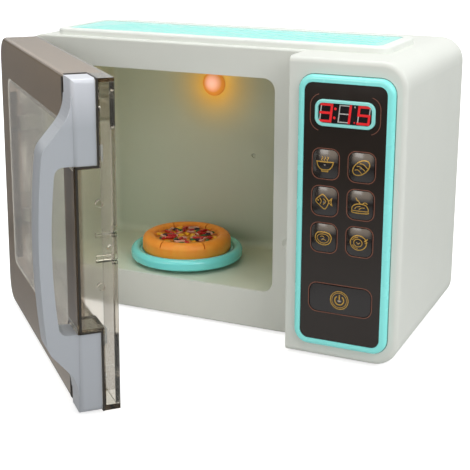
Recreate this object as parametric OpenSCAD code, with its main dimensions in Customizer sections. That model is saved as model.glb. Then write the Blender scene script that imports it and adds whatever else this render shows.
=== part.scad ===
// Toy microwave oven: smoke door with a bow handle, spinning plate with a pizza, push keys.
// Millimetres. X runs to the right, Y to the back, Z up. The origin is on the floor at the
// middle of the front left foot's sole, and the front with the door and the keys faces -Y.

/* [Body] */
// width of the whole body
body_w = 284; // [270:1:300]
// depth of the whole body
body_d = 140; // [132:1:150]
// height of the body without its feet and its raised top
body_h = 190; // [182:1:200]
// thickness of the casing walls
wall_t = 2.2; // [1.8:0.1:2.6]
// width of the control block to the right of the door
block_w = 74; // [72:1:78]
// how far the control block stands in front of the oven face
step_d = 26; // [25:0.5:30]
// rounding of the body corners seen from the front
corner_r = 16; // [14:1:18]
// rounding of the front edges of the control block
block_edge = 3.5; // [2:0.5:4.5]
// how far the rubber feet stand out below
foot_h = 1.5; // [1:0.1:2.5]
// thickness of the rear cover
rear_t = 3; // [2.6:0.1:3.4]

/* [Oven] */
// width of the oven face left and right of the opening together
oven_sides = 39; // [38:0.5:46]
// height of the oven face above the opening
oven_top = 19.5; // [18:0.5:26]
// height of the oven floor over the casing bottom
oven_z = 26.5; // [25:0.5:30]
// depth of the oven behind its face
oven_d = 90; // [80:1:92]
// corner rounding of the oven opening
oven_r = 8; // [6:0.5:10]
// rounding between the oven walls and its back
oven_back = 5; // [3:0.5:7]
// wall thickness of the oven tub
oven_t = 1.8; // [1.4:0.1:2.2]

/* [Door] */
// angle of the door away from closed
door_open = 44; // [0:1:98]
// gap and set back between the free end of the door and the control block
door_short = 1.4; // [1.2:0.1:4]
// thickness of the door
door_t = 23.4; // [20:0.2:24.4]
// gap between the closed door and the oven face
door_gap = 0.6; // [0.5:0.1:1]
// hinge line measured along the door from its hinge edge
hinge_a = 4.5; // [4.2:0.1:5]
// hinge line measured outward from the inner face
hinge_b = 8; // [7.6:0.1:8.6]
// diameter of the hinge pins
pin_d = 3; // [2.6:0.1:3.4]
// running gap around the hinge pins
pin_gap = 0.08; // [0.05:0.01:0.1]
// height of each hinge above and below the middle of the body
hinge_off = 33.5; // [30:0.5:40]
// wall thickness of the door cover
cover_t = 2.5; // [2:0.1:3]
// width of the free end margin beside the window
win_margin = 24; // [22:1:28]

/* [Handle] */
// width of the handle along the door
grip_w = 20; // [16:0.5:22]
// how far the handle stands out in front of the door
grip_out = 19.6; // [17:0.2:22]
// thickness of the grip bar
grip_t = 7; // [5.5:0.5:8]
// radius of the bow seen from the end of the door
bow_r = 480; // [380:10:700]
// height of each handle block
grip_block = 47; // [42:1:50]
// how far the blocks wrap along the end of the door
grip_wrap = 13; // [10:0.5:13]

/* [Top panel] */
// width of the raised top panel
top_w = 240; // [220:1:244]
// depth of the raised top panel
top_d = 67; // [60:1:80]
// distance of the raised panel behind the control block front
top_y = 30.5; // [29.5:0.5:36]
// height of the raised panel
top_h = 4.2; // [3.4:0.1:5]
// width of the pale rim around the inlay
top_rim_w = 6.5; // [5:0.5:8]

/* [Controls] */
// width of the bezel around the control panel
bezel_w = 60.6; // [58:0.2:62]
// height of the control block face above the bezel
bezel_top = 10.1; // [8:0.1:13]
// height of the bezel above the casing bottom
bezel_z = 8.2; // [7:0.1:9]
// how far the bezel stands out of the control block
bezel_out = 3.4; // [3:0.1:4]
// width of the bezel ring seen from the front
bezel_ring = 4.3; // [4:0.1:5]
// width of one food key
key_w = 15.8; // [15:0.1:18]
// height of one food key
key_h = 17.6; // [17:0.1:19.6]
// sideways pitch of the food keys
key_px = 22.8; // [22:0.1:23.4]
// upright pitch of the food keys
key_pz = 23.3; // [23:0.1:24]
// distance of the top row of keys below the top of the body
key_drop = 64; // [63:0.5:66]
// width of the power key
power_w = 39.6; // [36:0.2:42]
// middle height of the power key
power_z = 40.6; // [38:0.2:42]
// gap around each key in the panel
key_gap = 0.35; // [0.3:0.05:0.5]
// width of the display frame
disp_w = 37.8; // [34:0.2:40]
// height of the display frame
disp_h = 16.4; // [15:0.2:17]
// distance of the display below the top of the body
disp_drop = 32.5; // [31.5:0.5:34]

/* [Turntable] */
// radius of the plate
plate_r = 40.5; // [36:0.5:42]
// height of the plate rim
plate_h = 8; // [7:0.5:9]
// gap between the plate and the oven floor
plate_lift = 2.6; // [2:0.1:3]
// distance of the plate middle behind the control block front
plate_y = 70; // [69:0.5:73]
// diameter of the drive shaft
shaft_d = 6; // [5:0.1:7]
// radius of the pizza
pizza_r = 32; // [28:0.5:32.5]
// thickness of the pizza
pizza_h = 12.5; // [11:0.5:14]

/* [Hidden] */
$fn = 64;
fit_gap = 0.2;
cover_y = body_d - rear_t;
block_x = body_w - block_w;
block_mid = body_w - block_w / 2;
inner_w = body_w - 2 * wall_t;
inner_h = body_h - 2 * wall_t;
mid_z = body_h / 2;
oven_w = block_x - oven_sides;
oven_h = body_h - oven_z - oven_top;
door_l = block_x - door_short;
bezel_h = body_h - bezel_z - bezel_top;
key_z = body_h - key_drop;
disp_z = body_h - disp_drop;
speaker_z = body_h - key_drop - 4;
oven_x = (block_x - oven_w) / 2 - 0.5;
oven_mid = oven_x + oven_w / 2;
door_x = 0.4;
door_y = step_d - door_gap;
door_z = 0.4;
door_h = body_h - 2 * door_z;
grip_mid = door_l - grip_w / 2;
grip_screws = [18, body_h - 18];
axis_x = door_x + hinge_a;
axis_y = door_y - hinge_b;
hinge_zs = [mid_z - hinge_off, mid_z + hinge_off];
lug_h = 10;
lug_r = 4.2;
post_d = 8;
screw_hole = 2.6;
screw_free = 3.2;
corner_post = 8.2;
screw_posts = [[11, 12], [11, body_h - 12], [block_x - 8, 12], [block_x - 8, body_h - 12],
    [body_w - corner_post, corner_post], [body_w - corner_post, body_h - corner_post]];
peg_x = 22;
peg_y = 10;
board_hole_x = 5.2;
board_hole_z = 24;
foot_spots = [[24, 36], [body_w - 24, 30], [24, body_d - 24], [body_w - 24, body_d - 24]];
foot_d = 14;
foot_in = 1.2;
bezel_x = block_mid - bezel_w / 2;
panel_w = bezel_w - 2 * bezel_ring;
panel_h = bezel_h - 2 * bezel_ring;
panel_z = bezel_z + bezel_ring;
panel_in = 0.4;
panel_t = 2.2;
ledge = 1.6;
skirt_w = bezel_w - 4;
skirt_h = bezel_h - 4;
board_y = 7;
board_t = 1.6;
key_cols = [-key_px / 2, key_px / 2];
key_rows = [0, 1, 2];
plate_z = oven_z + plate_lift;
pizza_z = plate_z + 4.4;
lamp_drop = 22;
lamp_z = oven_z + oven_h - lamp_drop;
lug_slot = lug_h + 1.6;
door_posts = [[14, 13], [14, body_h - 13], [door_l - 32, 13], [door_l - 32, body_h - 13]];
snap_zs = [mid_z - 6.4, mid_z + 9.3];
box_x = block_x + 8;
box_w = 59;
box_z = 17;
box_h = 51;
box_d = 17;
cell_d = 14.2;
cell_l = 49.5;
door_recess = 2;

// which part to draw

// from the lower left corner of the body, seen from the front, to the sole of the front left foot
module place() {
    translate([-foot_spots[0][0], -foot_spots[0][1], foot_h]) children();
}

// drawn flat with its thickness growing towards the front, starting at depth y
module facing(y) {
    translate([0, y, 0]) rotate([90, 0, 0]) children();
}

// drawn flat with its thickness growing towards the back, starting at depth y
module backing(y) {
    translate([0, y, 0]) mirror([0, 1, 0]) rotate([90, 0, 0]) children();
}

// flat rectangle with round corners
module rounded(w, h, r) {
    translate([r, 0]) square([w - 2 * r, h]);
    translate([0, r]) square([w, h - 2 * r]);
    for (x = [r, w - r]) {
        for (y = [r, h - r]) {
            translate([x, y]) circle(r = r);
        }
    }
}

// flat rectangle with round corners around a middle point
module rounded_mid(w, h, r) {
    translate([-w / 2, -h / 2]) rounded(w, h, r);
}

// straight block with round upright edges
module slab(w, h, t, r) {
    linear_extrude(t) rounded(w, h, r);
}

// edge strip of a block whose far edge is rounded
module edge_shape(r, d, f) {
    square([r, d - f]);
    square([r - f, d]);
    translate([r - f, d - f]) intersection() {
        circle(r = f);
        square(f);
    }
}

// block with corners rounded by r and the edges of its far face rounded by f
module soft_block(w, h, d, r, f) {
    translate([r, r, 0]) cube([w - 2 * r, h - 2 * r, d]);
    translate([w - r, r, 0]) rotate([90, 0, -90]) linear_extrude(w - 2 * r) edge_shape(r, d, f);
    translate([w - r, h - r, 0]) rotate([90, 0, 0]) linear_extrude(h - 2 * r) edge_shape(r, d, f);
    translate([r, h - r, 0]) rotate([90, 0, 90]) linear_extrude(w - 2 * r) edge_shape(r, d, f);
    translate([r, r, 0]) rotate([90, 0, 180]) linear_extrude(h - 2 * r) edge_shape(r, d, f);
    for (c = [[w - r, h - r, 0], [r, h - r, 90], [r, r, 180], [w - r, r, 270]]) {
        translate([c[0], c[1], 0]) rotate([0, 0, c[2]]) rotate_extrude(angle = 90) edge_shape(r, d, f);
    }
}

// door frame: x along the door from its hinge edge, y inward, z up; the outer face at -door_t
module on_door() {
    place() translate([axis_x, axis_y, 0]) rotate([0, 0, -door_open])
        translate([-hinge_a, hinge_b, 0]) children();
}

// pan head screw with its head at the origin and its shank along -z
module screw(head_d, head_h, shank_d, length) {
    difference() {
        cylinder(d = head_d, h = head_h);
        translate([-head_d * 0.32, -0.35, head_h - 0.7]) cube([head_d * 0.64, 0.7, 1]);
        translate([-0.35, -head_d * 0.32, head_h - 0.7]) cube([0.7, head_d * 0.64, 1]);
    }
    translate([0, 0, -length + 1]) cylinder(d = shank_d, h = length - 0.5);
    translate([0, 0, -length]) cylinder(d1 = 0.8, d2 = shank_d, h = 1);
}

// casing with the oven face, the control block, the hinge lugs and the long screw posts
module front_casing() {
    color("gainsboro") place() difference() {
        union() {
            difference() {
                union() {
                    facing(cover_y) soft_block(body_w, body_h, cover_y - step_d, corner_r, 1.5);
                    intersection() {
                        facing(cover_y) translate([block_x - 40, 0, 0])
                            soft_block(block_w + 40, body_h, cover_y, corner_r, block_edge);
                        translate([block_x, -1, -1]) cube([block_w + 2, cover_y + 1, body_h + 2]);
                    }
                }
                facing(cover_y + 1) translate([wall_t, wall_t, 0])
                    slab(inner_w, inner_h, cover_y + 1 - step_d - wall_t, corner_r - wall_t);
                intersection() {
                    facing(cover_y + 1) translate([block_x - 40, wall_t, 0])
                        slab(block_w + 40 - wall_t, inner_h, cover_y + 1 - wall_t, corner_r - wall_t);
                    translate([block_x + wall_t, -1, -1]) cube([block_w + 2, cover_y + 4, body_h + 2]);
                }
            }
            for (i = [0 : 5]) {
                facing(cover_y - fit_gap) translate([screw_posts[i][0], screw_posts[i][1], 0])
                    cylinder(d = post_d, h = cover_y - fit_gap - (i > 3 ? 0 : step_d) - 1);
            }
            for (z = hinge_zs) {
                translate([axis_x, axis_y, z - lug_h / 2]) cylinder(r = lug_r, h = lug_h);
                translate([axis_x - 3.4, axis_y, z - lug_h / 2])
                    cube([6.8, step_d - axis_y + 0.5, lug_h]);
            }
            for (x = [block_x + board_hole_x, body_w - board_hole_x]) {
                for (z = [board_hole_z, body_h - board_hole_z]) {
                    facing(board_y - fit_gap) translate([x, z, 0]) cylinder(d = 5, h = board_y - wall_t);
                }
            }
            for (x = [oven_mid - 21, oven_mid + 21]) {
                translate([x, plate_y, 1]) cylinder(d = 7, h = 16.8);
            }
            for (z = [60, 130]) {
                translate([1, 60, z]) cube([10, 1.8, 1.8]);
                translate([1, 110, z]) cube([10, 1.8, 1.8]);
            }
        }
        facing(step_d + wall_t + 1) translate([oven_x, oven_z, 0]) slab(oven_w, oven_h, wall_t + 2, oven_r);
        facing(wall_t + 1) translate([block_mid - skirt_w / 2 - fit_gap, bezel_z + 2 - fit_gap, 0])
            slab(skirt_w + 2 * fit_gap, skirt_h + 2 * fit_gap, wall_t + 2, 6);
        for (p = screw_posts) {
            facing(cover_y + 1) translate([p[0], p[1], 0]) cylinder(d = screw_hole, h = 16);
        }
        for (z = hinge_zs) {
            translate([axis_x, axis_y, z - lug_h]) cylinder(d = pin_d + 2 * pin_gap, h = 2 * lug_h);
        }
        for (f = foot_spots) {
            translate([f[0], f[1], -1]) cylinder(d = foot_d + 0.4, h = 1 + foot_in);
        }
        translate([block_x - 1, door_y - 4, mid_z + 1]) rotate([0, 90, 0]) cylinder(d = 5, h = wall_t + 2);
        translate([block_x - 10, step_d - 3.6, mid_z - 32.5]) sphere(r = 5);
        for (x = [peg_x, top_w - peg_x]) {
            for (y = [peg_y, top_d - peg_y]) {
                translate([(body_w - top_w) / 2 + x, top_y + y, body_h - wall_t - 1])
                    cylinder(d = 3.4, h = wall_t + 2);
            }
        }
    }
}

// rear cover with battery opening, sound holes, vent slots and sunk screw holes
module rear_cover() {
    color("gainsboro") place() difference() {
        union() {
            backing(cover_y) soft_block(body_w, body_h, rear_t, corner_r, 2);
            difference() {
                backing(cover_y - 4) translate([wall_t + 0.3, wall_t + 0.3, 0])
                    slab(inner_w - 0.6, inner_h - 0.6, 4.5, corner_r - wall_t - 0.3);
                backing(cover_y - 5) translate([wall_t + 2, wall_t + 2, 0])
                    slab(inner_w - 4, inner_h - 4, 6, corner_r - wall_t - 2);
                for (p = screw_posts) {
                    backing(cover_y - 5) translate([p[0], p[1], 0]) cylinder(d = post_d + 0.6, h = 5);
                }
            }
            backing(cover_y - 2) translate([block_mid, speaker_z, 0]) cylinder(d = 44, h = 2.5);
        }
        backing(cover_y - 3) translate([block_mid, speaker_z, 0]) cylinder(d = 40.6, h = 3);
        backing(cover_y - 1) translate([box_x + 3, box_z + 2.5, 0]) slab(box_w - 6, box_h - 5, 6, 2);
        backing(body_d - door_recess) translate([box_x, box_z - 1, 0]) slab(box_w, box_h + 11, 4, 3);
        backing(cover_y - 1) translate([block_mid, box_z + box_h + 4.5, 0]) cylinder(d = screw_free, h = 5);
        for (ring = [[0, 1], [6, 6], [12, 12]]) {
            for (i = [0 : ring[1] - 1]) {
                backing(cover_y - 1) translate([block_mid, speaker_z, 0]) rotate([0, 0, i * 360 / ring[1]])
                    translate([ring[0], 0, 0]) cylinder(d = 2.6, h = 6);
            }
        }
        for (i = [0 : 11]) {
            backing(cover_y - 1) translate([46 + i * 10, 128, 0]) slab(4, 26, 6, 1.9);
        }
        for (p = screw_posts) {
            backing(cover_y - 1) translate([p[0], p[1], 0]) cylinder(d = screw_free, h = 6);
            backing(cover_y + 1.4) translate([p[0], p[1], 0]) cylinder(d = 6.4, h = 4);
        }
    }
}

// tub that lines the oven, with a rim behind the oven face
module oven_tub() {
    front_y = step_d + wall_t + fit_gap;
    depth = oven_d - wall_t - fit_gap;
    color("honeydew") place() difference() {
        union() {
            difference() {
                union() {
                    backing(front_y) translate([oven_x - oven_t, oven_z - oven_t, 0])
                        slab(oven_w + 2 * oven_t, oven_h + 2 * oven_t, depth + oven_t, oven_r + oven_t);
                    backing(front_y) translate([oven_x - 6, oven_z - 6, 0])
                        slab(oven_w + 12, oven_h + 12, 1.6, oven_r + 6);
                }
                backing(front_y - 1) translate([oven_x, oven_z, 0])
                    soft_block(oven_w, oven_h, depth + 1, oven_r, oven_back);
            }
            translate([oven_mid, plate_y, oven_z - 0.6]) cylinder(d = 26, h = 1.4);
        }
        translate([oven_mid, plate_y, oven_z - 5]) cylinder(d = 12, h = 12);
        backing(step_d + oven_d - 2) translate([oven_mid, lamp_z, 0]) cylinder(d = 12.4, h = 6);
        backing(step_d + oven_d - 2) translate([oven_mid + 32.7, oven_z + 70.3, 0]) cylinder(d = 3.4, h = 6);
    }
}

// pale rim of the raised top panel with four pegs
module top_rim() {
    color("whitesmoke") place() translate([(body_w - top_w) / 2, top_y, body_h]) {
        difference() {
            soft_block(top_w, top_d, top_h, 9, 1.6);
            translate([top_rim_w, top_rim_w, top_h - 2.6])
                slab(top_w - 2 * top_rim_w, top_d - 2 * top_rim_w, 6, 5);
        }
        for (x = [peg_x, top_w - peg_x]) {
            for (y = [peg_y, top_d - peg_y]) {
                translate([x, y, -5]) cylinder(d = 3, h = 5.5);
            }
        }
    }
}

// inlay of the raised top panel with slanted air slots
module top_inlay() {
    w = top_w - 2 * top_rim_w - 2 * fit_gap;
    d = top_d - 2 * top_rim_w - 2 * fit_gap;
    color("paleturquoise") place()
        translate([(body_w - top_w) / 2 + top_rim_w + fit_gap, top_y + top_rim_w + fit_gap, body_h])
        difference() {
            translate([0, 0, top_h - 2.6 + 0.02]) slab(w, d, 2, 4.8);
            intersection() {
                translate([7, 6, top_h - 1.4]) cube([w - 14, d - 12, 3]);
                for (i = [0 : 27]) {
                    translate([4 + i * 8, 0, top_h - 1.3]) rotate([0, 0, -28])
                        translate([0, -10, 0]) cube([2.2, d + 30, 3]);
                }
            }
        }
}

// ring with a rounded outer edge around the control panel, with a skirt and a ledge
module control_bezel() {
    color("aquamarine") place() difference() {
        union() {
            facing(0) translate([bezel_x, bezel_z, 0]) soft_block(bezel_w, bezel_h, bezel_out, 9.5, 2.6);
            facing(5) translate([block_mid - skirt_w / 2, bezel_z + 2, 0]) slab(skirt_w, skirt_h, 5.5, 5.8);
        }
        facing(-bezel_out + panel_in + panel_t)
            translate([block_mid - panel_w / 2, panel_z, 0]) slab(panel_w, panel_h, 8, 5.5);
        facing(6) translate([block_mid - panel_w / 2 + ledge, panel_z + ledge, 0])
            slab(panel_w - 2 * ledge, panel_h - 2 * ledge, 14, 4);
    }
}

// dark panel with apertures for the keys and the display
module control_panel() {
    w = panel_w - 2 * fit_gap;
    h = panel_h - 2 * fit_gap;
    color("darkslategray") place() facing(-bezel_out + panel_in + panel_t) difference() {
        translate([block_mid - w / 2, panel_z + fit_gap, 0.02]) slab(w, h, panel_t - 0.02, 5.3);
        translate([block_mid, 0, -1]) {
            for (x = key_cols) {
                for (j = key_rows) {
                    translate([x, key_z - j * key_pz, 0]) linear_extrude(6)
                        rounded_mid(key_w + 2 * key_gap, key_h + 2 * key_gap, 4.2 + key_gap);
                }
            }
            translate([0, power_z, 0]) linear_extrude(6)
                rounded_mid(power_w + 2 * key_gap, key_h + 2 * key_gap, 5 + key_gap);
            translate([0, disp_z, 0]) linear_extrude(6) rounded_mid(disp_w - 2, disp_h - 2, 4.2);
        }
    }
}

// raised frame round the display
module display_frame() {
    face = -bezel_out + panel_in;
    color("aquamarine") place() facing(face) translate([block_mid, disp_z, 0]) difference() {
        union() {
            translate([-disp_w / 2, -disp_h / 2, 0.02]) soft_block(disp_w, disp_h, 1.2, 5.2, 0.7);
            translate([0, 0, -2.4]) linear_extrude(2.6) rounded_mid(disp_w - 2.4, disp_h - 2.4, 4);
        }
        translate([0, 0, -4]) linear_extrude(8) rounded_mid(disp_w - 4, disp_h - 4, 3.4);
    }
}

// display block with its window in the display frame
module display_module() {
    face = -bezel_out + panel_in;
    color("black") place() facing(face) translate([block_mid, disp_z, 0]) {
        translate([0, 0, -3.2]) linear_extrude(3.2) rounded_mid(disp_w - 4.4, disp_h - 4.4, 3.2);
        translate([-21, -9.5, -8]) cube([42, 19, 5.2]);
        for (x = [-17 : 4 : 19]) {
            translate([x, -8.4, -9.6]) cylinder(d = 0.8, h = 2);
            translate([x, 8.4, -9.6]) cylinder(d = 0.8, h = 2);
        }
    }
}

// cap with a pillow face, a flange behind the panel and a stem; the face looks along +z
module key_cap(w, h, r, dome, rise) {
    intersection() {
        translate([0, 0, -3.6]) linear_extrude(8) rounded_mid(w, h, r);
        translate([0, 0, rise - dome]) sphere(r = dome, $fn = 160);
    }
    translate([0, 0, -3.6]) linear_extrude(1.2) rounded_mid(w + 2, h + 1.6, r + 0.6);
    for (x = w > 30 ? [-12, 12] : [0]) {
        translate([x, 0, -4.4]) cylinder(d = 6, h = 1);
    }
}

module food_key(i) {
    color("dimgray") place() facing(-bezel_out + panel_in)
        translate([block_mid + key_cols[i % 2], key_z - floor(i / 2) * key_pz, 0])
        key_cap(key_w, key_h, 4.2, 30, 1.6);
}

module key_power() {
    color("dimgray") place() facing(-bezel_out + panel_in) translate([block_mid, power_z, 0])
        key_cap(power_w, key_h, 5, 180, 0.9);
}

// rubber mat with one dome behind each key
module key_mat() {
    color("gray") place() facing(board_y - 0.1) translate([block_mid, 0, 0]) {
        translate([-23.5, power_z - 13.6, 0]) slab(47, key_z - power_z + 27.6, 1.2, 3);
        for (x = key_cols) {
            for (j = key_rows) {
                translate([x, key_z - j * key_pz, 1]) cylinder(d1 = 10, d2 = 6.4, h = 2.6);
            }
        }
        for (x = [-12, 12]) {
            translate([x, power_z, 1]) cylinder(d1 = 10, d2 = 6.4, h = 2.6);
        }
    }
}

// circuit board with chip, buzzer driver, capacitors and a plug for the wires
module control_board() {
    color("seagreen") place() backing(board_y) {
        difference() {
            translate([block_x + 2.8, 18, 0]) slab(block_w - 5.6, body_h - 36, board_t, 5);
            for (x = [block_x + board_hole_x, body_w - board_hole_x]) {
                for (z = [board_hole_z, body_h - board_hole_z]) {
                    translate([x, z, -1]) cylinder(d = 2.2, h = 4);
                }
            }
        }
        translate([block_mid - 9, 96, board_t]) cube([18, 12, 2.4]);
        translate([block_mid - 22, 60, board_t]) cylinder(d = 6.3, h = 9);
        translate([block_mid - 12, 60, board_t]) cylinder(d = 5, h = 8);
        translate([block_mid + 8, 56, board_t]) cube([14, 6, 6]);
        for (i = [0 : 4]) {
            translate([block_mid - 20 + i * 9, 126, board_t]) cube([5, 2.2, 1.4]);
        }
    }
}

// amber lens on the back wall of the oven
module lamp_lens() {
    y = step_d + oven_d;
    color("orange") place() facing(y) translate([oven_mid, lamp_z, 0]) difference() {
        union() {
            intersection() {
                translate([0, 0, -8.2]) sphere(r = 12.6);
                translate([0, 0, 0.02]) cylinder(d = 18, h = 8);
            }
            translate([0, 0, -3.4]) cylinder(d = 12, h = 4);
        }
        translate([0, 0, -4]) cylinder(d = 8, h = 5.4);
    }
}

// small board behind the lens with one lamp
module lamp_board() {
    y = step_d + oven_d + oven_t;
    color("seagreen") place() translate([oven_mid, 0, lamp_z]) {
        translate([-12, y + 2, -8]) cube([24, 1.6, 16]);
        translate([0, y + 2.2, 0]) rotate([90, 0, 0]) cylinder(d = 5, h = 2.4);
        translate([0, y - 0.2, 0]) sphere(d = 5);
        translate([-9, y + 3.5, -5]) cube([4, 3, 3]);
    }
}

// round speaker behind the sound holes
module speaker() {
    color("dimgray") place() facing(cover_y - 0.2) translate([block_mid, speaker_z, 0]) rotate_extrude()
        polygon([[0, 2.5], [6, 2.5], [16.5, 0], [20, 0], [20, 3], [17, 4], [12, 9], [12, 15], [0, 15]]);
}

// gear motor under the oven floor with two ears
module turntable_motor() {
    color("silver") place() translate([oven_mid, plate_y, 0]) difference() {
        union() {
            translate([-16, -14, 4]) slab(32, 28, 13.6, 3);
            translate([-26, -5, 18]) slab(52, 10, 2, 4.9);
            translate([-16, -14, 17]) slab(32, 28, 3.4, 3);
            translate([0, -26, 11]) rotate([-90, 0, 0]) cylinder(d = 12, h = 14);
            translate([0, 0, 20]) cylinder(d = 10, h = 1.6);
        }
        translate([0, 0, 12]) cylinder(d = shaft_d + 0.16, h = 12);
        for (x = [-21, 21]) {
            translate([x, 0, 16]) cylinder(d = 2.6, h = 6);
        }
    }
}

// drive shaft with a three-winged hub that carries the plate
module drive_shaft() {
    color("white") place() translate([oven_mid, plate_y, 0]) {
        translate([0, 0, 13]) cylinder(d = shaft_d, h = plate_z - 13);
        translate([0, 0, oven_z - 1.4]) cylinder(d = 10, h = plate_z - oven_z + 1.4);
        translate([0, 0, plate_z - 0.5]) cylinder(d = 6, h = 2.7);
        for (a = [0, 120, 240]) {
            rotate([0, 0, a]) translate([2, -1, plate_z - 0.5]) cube([4, 2, 2.7]);
        }
    }
}

// plate with a thick rounded rim and a keyed hole below
module turntable_plate() {
    color("mediumaquamarine") place() translate([oven_mid, plate_y, plate_z]) difference() {
        rotate_extrude() {
            difference() {
                union() {
                    square([plate_r - 4, 4.2]);
                    translate([plate_r - 8, 0]) square([5, plate_h - 2.5]);
                    translate([plate_r - 5, 2]) square([5, plate_h - 5.5]);
                    translate([plate_r - 5.5, 2]) circle(r = 2);
                    translate([plate_r - 2, 2]) circle(r = 2);
                    translate([plate_r - 5.5, 0]) square([3.5, 4]);
                    translate([plate_r - 3.5, plate_h - 3.5]) circle(r = 3.5);
                }
                translate([-1, 4.2]) square([plate_r - 7, 10]);
            }
        }
        translate([0, 0, -1]) cylinder(d = 6.3, h = 3.4);
        for (a = [0, 120, 240]) {
            rotate([0, 0, a]) translate([2, -1.15, -1]) cube([4.2, 2.3, 3.4]);
        }
    }
}

// toy pizza with a round crust, sunk filling and cuts between its slices
module pizza_base() {
    color("sandybrown") place() translate([oven_mid, plate_y, pizza_z]) difference() {
        rotate_extrude() {
            difference() {
                union() {
                    square([pizza_r - 4, pizza_h - 3]);
                    translate([pizza_r - 8, 0]) square([6.5, pizza_h - 5]);
                    translate([pizza_r - 3, 3]) circle(r = 3);
                    translate([pizza_r - 5, pizza_h - 5]) circle(r = 5);
                    translate([pizza_r - 3, 3]) square([3, pizza_h - 8]);
                }
                translate([-1, pizza_h - 3]) square([pizza_r - 8.5, 6]);
            }
        }
        for (i = [0 : 5]) {
            rotate([0, 0, 20 + i * 60]) translate([0, -0.4, pizza_h - 4.2]) cube([pizza_r + 2, 0.8, 6]);
        }
    }
}

// raised filling: tomato rounds, onion arcs, pepper strips and olives
module pizza_toppings() {
    top = pizza_z + pizza_h - 3;
    color("firebrick") place() translate([oven_mid, plate_y, top + 0.02]) difference() {
        union() {
            for (i = [0 : 5]) {
                rotate([0, 0, 50 + i * 60]) translate([14, 0, 0]) cylinder(r = 4.8, h = 1.6);
            }
            for (i = [0 : 5]) {
                rotate([0, 0, 38 + i * 60]) translate([19.4, 0, 0]) rotate([0, 0, 50])
                    translate([-3, -0.8, 0]) cube([5, 1.6, 2]);
            }
            for (i = [0 : 5]) {
                rotate([0, 0, 64 + i * 60]) translate([8, 0, 0]) difference() {
                    cylinder(r = 2.4, h = 2.2);
                    translate([0, 0, -1]) cylinder(r = 1.1, h = 4);
                }
            }
        }
        for (i = [0 : 5]) {
            rotate([0, 0, 20 + i * 60]) translate([0, -0.4, -1]) cube([pizza_r, 0.8, 6]);
        }
    }
}

// open box for three cells behind the rear cover
module battery_box() {
    y = cover_y - 0.1;
    color("lightgray") place() facing(y) difference() {
        union() {
            translate([box_x, box_z, 0]) slab(box_w, box_h, box_d, 3);
            translate([block_mid - 5, box_z + box_h - 1, 0]) cube([10, 11, 8]);
        }
        translate([box_x + 1.4, box_z + 1.4, -1]) slab(box_w - 2.8, box_h - 2.8, box_d - 0.4, 2);
        translate([block_mid, box_z + box_h + 4.5, -1]) cylinder(d = 2.2, h = 8);
    }
}

module battery(i) {
    x0 = box_x + box_w / 2 - cell_l / 2;
    color("darkorange") place() translate([x0, cover_y - 8.1, box_z + 1.4 + 8.1 + i * 16])
        rotate([0, 90, 0]) {
            cylinder(d = cell_d, h = cell_l - 1.4);
            translate([0, 0, cell_l - 1.5]) cylinder(d = 5.4, h = 1.5);
        }
}

// sprung contact plates on the left wall of the battery box
module contacts_left() {
    color("silver") place() translate([box_x + 1.5, cover_y - 15.4, box_z + 3.4]) {
        cube([0.5, 13, 12.4]);
        translate([0, 0, 15.2]) cube([0.5, 13, 28.8]);
        for (i = [0 : 2]) {
            translate([0.4, 7.3, 6.1 + i * 16]) rotate([0, 90, 0]) cylinder(d1 = 8, d2 = 4, h = 2.5);
        }
    }
}

// flat contact plates on the right wall of the battery box
module contacts_right() {
    color("silver") place() translate([box_x + box_w - 2, cover_y - 15.4, box_z + 3.4]) {
        cube([0.5, 13, 28.6]);
        translate([0, 0, 31.2]) cube([0.5, 13, 12.8]);
        for (i = [0 : 2]) {
            translate([-1.6, 7.3, 6.1 + i * 16]) rotate([0, 90, 0]) cylinder(d = 4, h = 1.7);
        }
    }
}

// lid of the battery box with finger ribs
module battery_door() {
    w = box_w - 0.8;
    h = box_h + 11 - 0.8;
    color("gainsboro") place() backing(body_d - door_recess + 0.1) difference() {
        union() {
            translate([box_x + 0.4, box_z - 0.6, 0]) slab(w, h, door_recess - 0.1, 2.6);
            for (i = [0 : 4]) {
                translate([block_mid - 12, box_z + 8 + i * 4, door_recess - 0.3]) cube([24, 1.4, 0.9]);
            }
        }
        translate([block_mid, box_z + box_h + 4.5, -1]) cylinder(d = screw_free, h = 6);
        translate([block_mid, box_z + box_h + 4.5, door_recess - 1.2]) cylinder(d = 6, h = 6);
    }
}

module battery_door_screw() {
    color("silver") place() backing(body_d - 1.05) translate([block_mid, box_z + box_h + 4.5, 0])
        screw(5.4, 1.4, 2, 8);
}

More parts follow.
